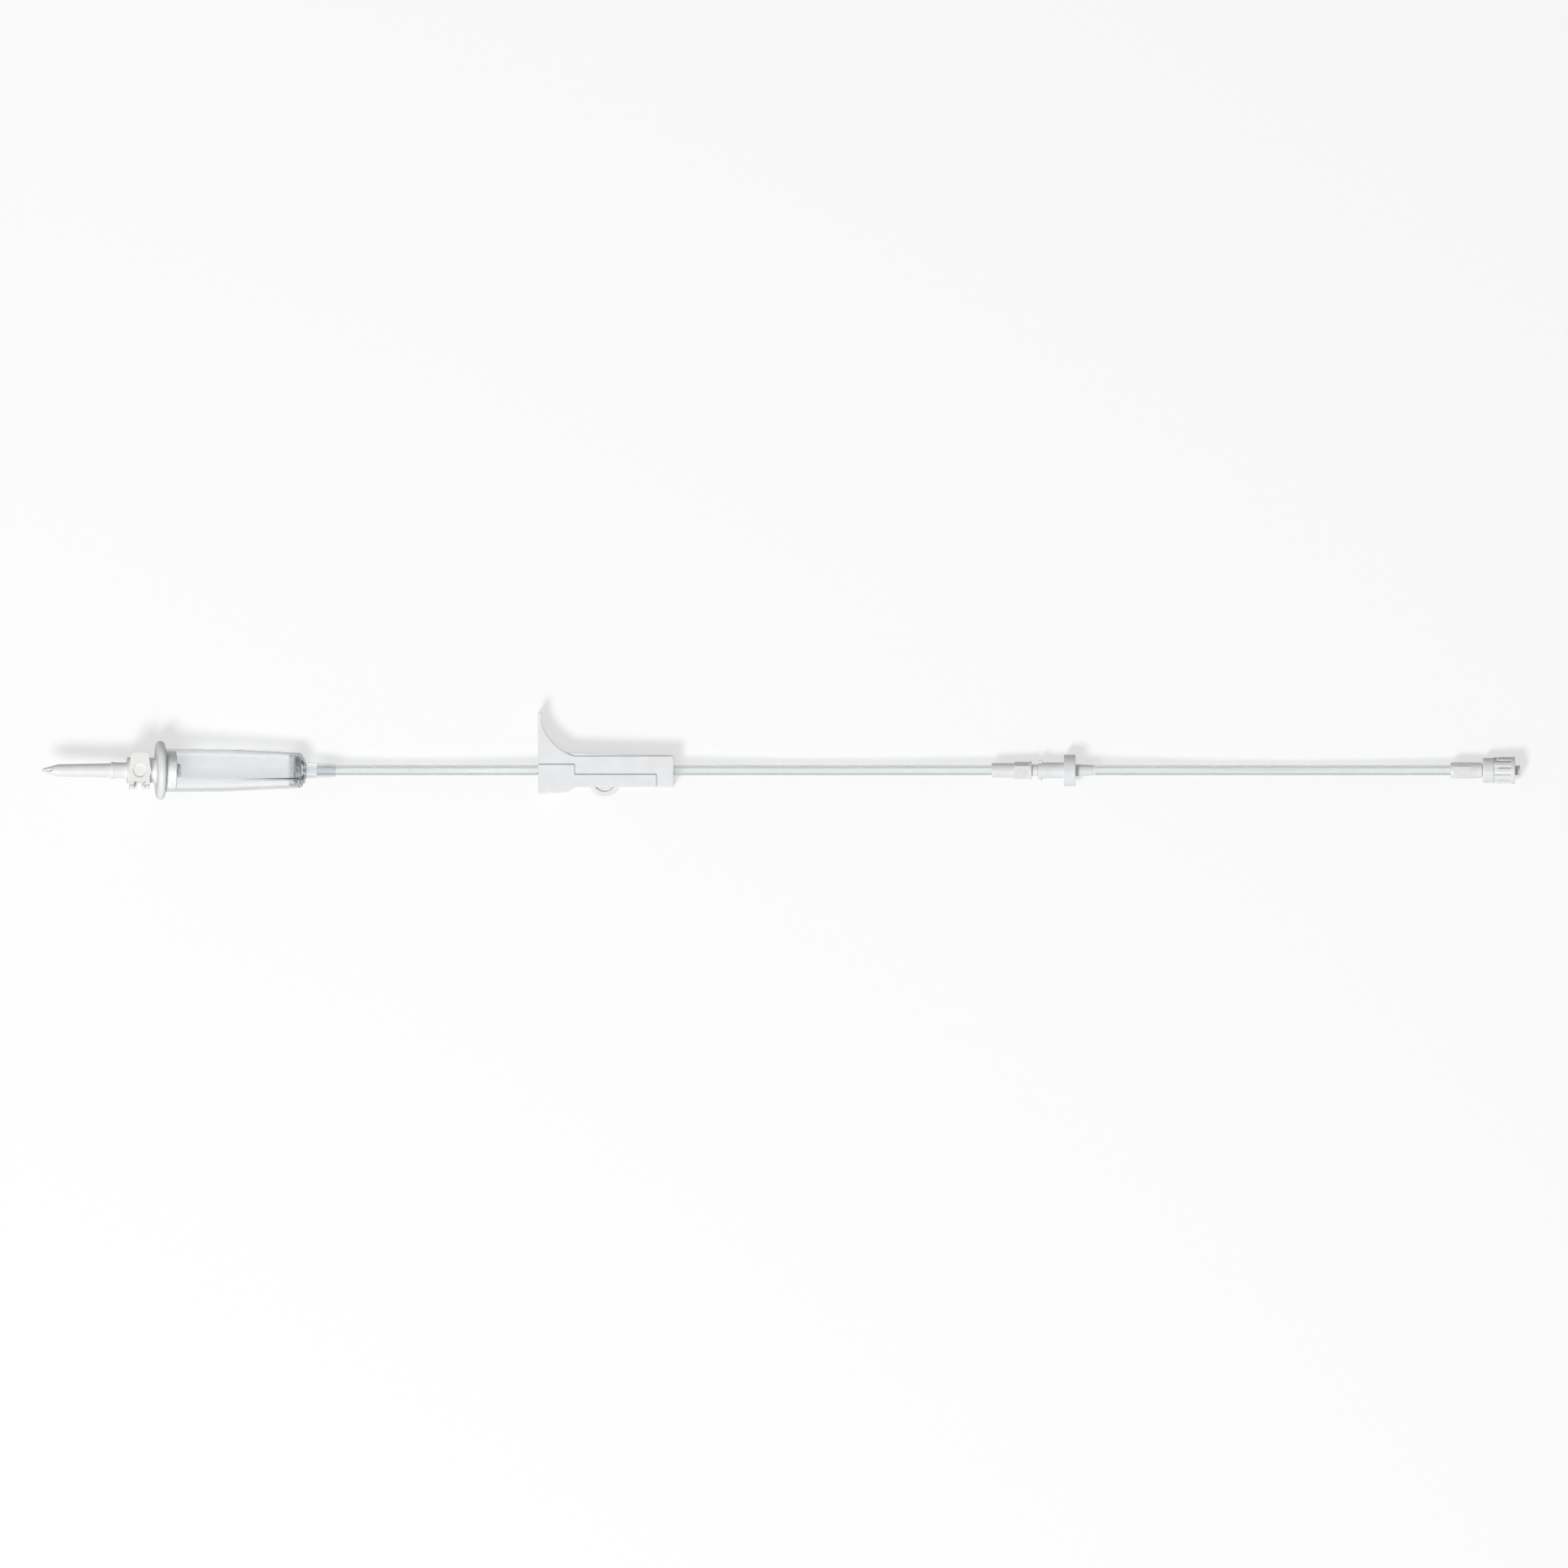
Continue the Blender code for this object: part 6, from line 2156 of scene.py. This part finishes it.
@dataclass
class TubeRun:
    """Length of hollow tubing.

    Args:
        name: the run's name.
        route: points that it follows, in metres, each with the share of its thickness that the tubing
            keeps there.
        radius: its radius, in millimetres.
        lumen: its inside radius, in millimetres.
        sides: facets round it.
    """

    name: str
    route: list[Vector]
    radius: float = 2.05
    lumen: float = 1.5
    sides: int = 28

    def rings(self, mesh: bmesh.types.BMesh, radius: float) -> list[list[bmesh.types.BMVert]]:
        """Adds one surface of the tube. Where it is pressed thinner, it grows wider.

        Args:
            mesh: the mesh that it is added to.
            radius: radius of the surface, in millimetres.

        Returns:
            A ring of points at each point of the route.
        """
        rings = []
        for k, point in enumerate(self.route):
            ahead = self.route[min(k + 1, len(self.route) - 1)].to_3d()
            behind = self.route[max(k - 1, 0)].to_3d()
            along = (ahead - behind).normalized()
            side = along.cross(Vector((0.0, 0.0, 1.0))).normalized()
            thin = side * (radius * MM * point.w)
            wide = side.cross(along) * (radius * MM * math.sqrt(2.0 - point.w**2))
            turns = [WHOLE_TURN * s / self.sides for s in range(self.sides)]
            corners = [point.to_3d() + thin * math.cos(t) + wide * math.sin(t) for t in turns]
            rings.append([mesh.verts.new(corner) for corner in corners])
        return rings

    def build(self) -> Object:
        """Builds the run, with its two walls joined at both ends."""
        mesh = bmesh.new()
        outside = self.rings(mesh, self.radius)
        inside = self.rings(mesh, self.lumen)
        loop = outside + inside[::-1]
        for ring, following in zip(loop, loop[1:] + loop[:1]):
            for s in range(self.sides):
                after = (s + 1) % self.sides
                mesh.faces.new((ring[s], ring[after], following[after], following[s]))
        bmesh.ops.recalc_face_normals(mesh, faces=mesh.faces)
        data = bpy.data.meshes.new(self.name)
        mesh.to_mesh(data)
        mesh.free()
        piece = bpy.data.objects.new(self.name, data)
        bpy.context.scene.collection.objects.link(piece)
        Bench.dress(piece, PALETTE.tubing, 50.0)
        return piece

    def length(self) -> float:
        """Length of the run's line, in metres."""
        return sum((b - a).to_3d().length for a, b in pairwise(self.route))


@dataclass
class Tubing:
    """Both lengths of tubing. The long one is in two runs, which meet in the hole at the clamp's end.

    Args:
        diameter: the tubing's diameter.
        inserted: how far the tubing goes into a socket.
        on_cone: how far the valve's cone stands back from its end of the tubing.
        height: height of the clamp's and the valve's axes over the table.
        spacing: distance between the points of a smooth route.
        meeting: where the long tubing's two runs meet, past the clamp's mouth.
        follows_from: where the first run starts to follow the clamp fully, past its mouth; not used.
        follows_to: where the second run stops doing so; not used.
        after_chamber: route past the outlet's mouth: x past it and z over the table.
        in_clamp: route past the clamp's mouth: x, y from the line, and half the tubing's thickness. It
            fills the gap that the roller leaves it at each place along the wedge.
        after_clamp: route past the clamp's end.
        after_valve: route past the valve's cone.
    """

    diameter: float = 4.1
    inserted: float = 7.7
    on_cone: float = 0.3
    height: float = 6.8
    spacing: float = 1.6
    meeting: float = 57.8
    follows_from: float = 25.5
    follows_to: float = 53.6
    after_chamber: tuple[Pair, ...] = ((12.0, 5.9), (30.0, 5.25), (50.0, 5.3), (70.0, 6.1), (82.0, 6.7))
    in_clamp: tuple[Point, ...] = (
        (0.0, 0.1, 2.05), (3.0, 0.5, 2.05), (6.0, 1.4, 2.05), (9.0, 2.55, 2.05), (12.0, 3.6, 2.05),
        (14.0, 4.1, 2.05), (16.0, 4.35, 2.05), (18.3, 4.42, 2.03), (23.5, 4.42, 1.78), (28.7, 4.41, 1.53),
        (38.7, 4.39, 0.99), (48.7, 4.375, 0.45), (51.0, 4.13, 0.55), (53.0, 3.42, 0.75),
        (54.6, 2.25, 0.92), (55.9, 1.1, 1.3), (57.1, 0.3, 1.8), (58.6, 0.0, 2.05),
    )
    after_clamp: tuple[Pair, ...] = (
        (6.0, 6.8), (25.0, 6.0), (50.0, 5.2), (75.0, 5.05), (100.0, 5.6), (125.0, 6.55), (134.0, 6.8),
    )
    after_valve: tuple[Pair, ...] = (
        (6.0, 6.75), (25.0, 5.75), (50.0, 4.6), (77.0, 4.0), (105.0, 4.3), (130.0, 5.2), (148.0, 5.8),
    )

    @staticmethod
    def round_at(place: Vector) -> Vector:
        """Point of a route where the tubing keeps its whole thickness."""
        return Vector((*place, 1.0))

    @staticmethod
    def stretch(start: float, points: tuple[Pair, ...]) -> list[Vector]:
        """Free stretch of a route.

        Args:
            start: place along the set that the points are past, in metres.
            points: x past that place and z over the table.

        Returns:
            Points of a route.
        """
        return [Vector((start + x * MM, LINE_Y, z * MM, 1.0)) for x, z in points]

    def start(self) -> Vector:
        """The long tubing's end in the chamber outlet's socket."""
        return CHAMBER_AXIS.at(ChamberOutlet.end - self.inserted)

    def cone(self) -> Vector:
        """End of the valve's cone."""
        return VALVE_AXIS.at(CheckValve.hub_length + CheckValve.thickness + CheckValve.cone_length)

    def through_clamp(self) -> list[Vector]:
        """Stretch in the clamp, where the tubing is pressed flatter along the wedge."""
        start = CLAMP_AXIS.origin[0]
        return [
            Vector((start + x * MM, LINE_Y + y * MM, self.height * MM, half * 2 / self.diameter))
            for x, y, half in self.in_clamp
        ]

    def smooth(self, points: list[Vector]) -> list[Vector]:
        """Smooth curve through a route's own points.

        Args:
            points: the route's points.

        Returns:
            Points on the curve, at about even spacing.
        """
        ends = [2 * points[0] - points[1], *points, 2 * points[-1] - points[-2]]
        made = []
        for before, here, after, beyond in zip(ends, ends[1:], ends[2:], ends[3:]):
            steps = max(1, round((after - here).to_3d().length / (self.spacing * MM)))
            for s in range(steps):
                t = s / steps
                point = 0.5 * (
                    2 * here
                    + (after - before) * t
                    + (2 * before - 5 * here + 4 * after - beyond) * t**2
                    + (3 * here - before - 3 * after + beyond) * t**3
                )
                point.w = min(point.w, 1.0)
                made.append(point)
        return made + [points[-1]]

    def line_route(self) -> list[Vector]:
        """From the outlet's socket through the clamp to the connector's socket."""
        outlet = CHAMBER_AXIS.at(ChamberOutlet.end)
        end = CLAMP_AXIS.at(RollerClamp.length).x
        socket = CONNECTOR_AXIS.at(self.inserted)
        return self.smooth(
            [self.round_at(self.start()), self.round_at(outlet)]
            + self.stretch(outlet.x, self.after_chamber)
            + self.through_clamp()
            + self.stretch(end, self.after_clamp)
            + [self.round_at(socket)]
        )

    def patient_route(self) -> list[Vector]:
        """From the valve's cone to the end connector's socket."""
        cone = self.cone()
        return self.smooth(
            [self.round_at(cone + Vector((self.on_cone * MM, 0.0, 0.0)))]
            + self.stretch(cone.x, self.after_valve)
            + [self.round_at(END_AXIS.at(0.0)), self.round_at(END_AXIS.at(self.inserted))]
        )

    def declare(self, piece: Object, run: TubeRun, node: str) -> None:
        """Hides the frame's node that a run stands for, and logs the run's length.

        Args:
            piece: the run's object.
            run: the run.
            node: the frame's node that it stands for.
        """
        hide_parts(node)
        round(run.length(), 4)
        LOG.info("%s: %.1f mm of tubing", piece.name, run.length() / MM)

    def build(self) -> None:
        route = self.line_route()
        meeting = CLAMP_AXIS.at(self.meeting).x
        first = [point for point in route if point.x <= meeting]
        upper = TubeRun("tubing_above_clamp", first)
        lower = TubeRun("tubing_below_clamp", [first[-1]] + [point for point in route if point.x > meeting])
        patient = TubeRun("tubing_to_patient", self.patient_route())
        line, clamp = Body.LINE.value, Body.CLAMP.value

        piece = upper.build()
        tuple(self.start())
        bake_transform(piece)
        self.declare(piece, upper, "line_tube")

        piece = lower.build()
        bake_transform(piece)
        self.declare(piece, lower, "line_tube")

        piece = patient.build()
        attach(piece, line)
        self.declare(piece, patient, "patient_tube")


# Studio


@dataclass
class Studio:
    """White table, soft light from above and the camera over the set.

    Args:
        view_width: width of the picture at the table, in metres.
        middle: point of the table in the picture's middle.
        height: height of the camera.
        seen_colour: linear colour that the table shows.
        bounce_colour: linear colour of the light that it throws back on the set.
        background: share of the table that shows as plain white background.
        surround: strength of the even light from all round.
        lamp_place: where the lamp hangs.
        lamp_size: side of the lamp.
        lamp_power: power of the lamp, in watts.
    """

    view_width: float = 0.6762
    middle: Pair = (0.0012, -0.0120)
    height: float = 1.2
    seen_colour: Point = (0.95, 0.95, 0.95)
    bounce_colour: Point = (0.45, 0.45, 0.45)
    background: float = 0.62
    surround: float = 0.35
    lamp_place: Point = (-1.0, -1.55, 2.9)
    lamp_size: float = 0.85
    lamp_power: float = 86.0

    def camera(self) -> None:
        """Camera that looks straight down without perspective."""
        data = bpy.data.cameras.new("top_camera")
        data.type = "ORTHO"
        data.ortho_scale = self.view_width
        data.clip_end = 20.0
        camera = bpy.data.objects.new("top_camera", data)
        camera.location = (*self.middle, self.height)
        bpy.context.scene.collection.objects.link(camera)
        bpy.context.scene.camera = camera

    def floor(self) -> None:
        """Table top that shows white to the camera and keeps the set's soft shadow."""
        Bench.clear()
        bpy.ops.mesh.primitive_plane_add(size=8.0, location=(0.0, 0.0, -0.0002))
        floor = Bench.named("table_top")
        sheet = NodeSheet.new("table_top_white")
        rays = sheet.add("ShaderNodeLightPath")
        seen = rays.outputs["Is Camera Ray"]
        for kind in ("Glossy", "Transmission"):
            seen = sheet.reckoned("MAXIMUM", seen, rays.outputs[f"Is {kind} Ray"])
        sheet.feed("Base Color", sheet.blended(seen, self.bounce_colour, self.seen_colour))
        sheet.feed("Roughness", 0.8)
        sheet.feed("Specular IOR Level", 0.0)
        glow = sheet.add("ShaderNodeEmission", strength=1.0)
        share = sheet.reckoned("MULTIPLY", seen, self.background)
        sheet.mixed(share, sheet.shader.outputs["BSDF"], glow.outputs["Emission"])
        floor.data.materials.append(sheet.material)

    def lamp(self) -> None:
        """Square soft lamp that faces the set."""
        data = bpy.data.lights.new("front_lamp", "AREA")
        data.shape = "SQUARE"
        data.size = self.lamp_size
        data.energy = self.lamp_power
        lamp = bpy.data.objects.new("front_lamp", data)
        lamp.location = self.lamp_place
        lamp.rotation_euler = (-lamp.location).to_track_quat("-Z", "Y").to_euler()
        bpy.context.scene.collection.objects.link(lamp)

    def world(self) -> None:
        """Even, dim surround that shows white as a background."""
        world = bpy.data.worlds.new("surround")
        world.use_nodes = True
        tree = world.node_tree
        background = tree.nodes["Background"]
        background.inputs["Color"].default_value = (1.0, 1.0, 1.0, 1.0)
        rays = tree.nodes.new("ShaderNodeLightPath")
        strength = tree.nodes.new("ShaderNodeMapRange")
        strength.inputs["To Min"].default_value = self.surround
        strength.inputs["To Max"].default_value = 1.0
        tree.links.new(rays.outputs["Is Camera Ray"], strength.inputs["Value"])
        tree.links.new(strength.outputs["Result"], background.inputs["Strength"])
        bpy.context.scene.world = world

    def build(self) -> None:
        """Sets the whole studio up."""
        self.camera()
        self.floor()
        self.world()
        self.lamp()
        bpy.context.scene.view_settings.view_transform = "Standard"


def main() -> None:
    """Builds the whole set and the studio round it."""
    logging.basicConfig(level=logging.INFO, format="%(message)s")
    Studio().build()
    Tubing().build()
    spike = SpikeMoulding()
    spike.build()
    Vent(spike).build()
    DropFormer().build()
    DripChamber().build()
    FluidFilter().build()
    ChamberOutlet().build()
    RollerClamp().build()
    Roller().build()
    LineConnector().build()
    CheckValve().build()
    EndConnector().build()
    LockCollar().build()
    Bench.clear()


if __name__ == "__main__":
    main()
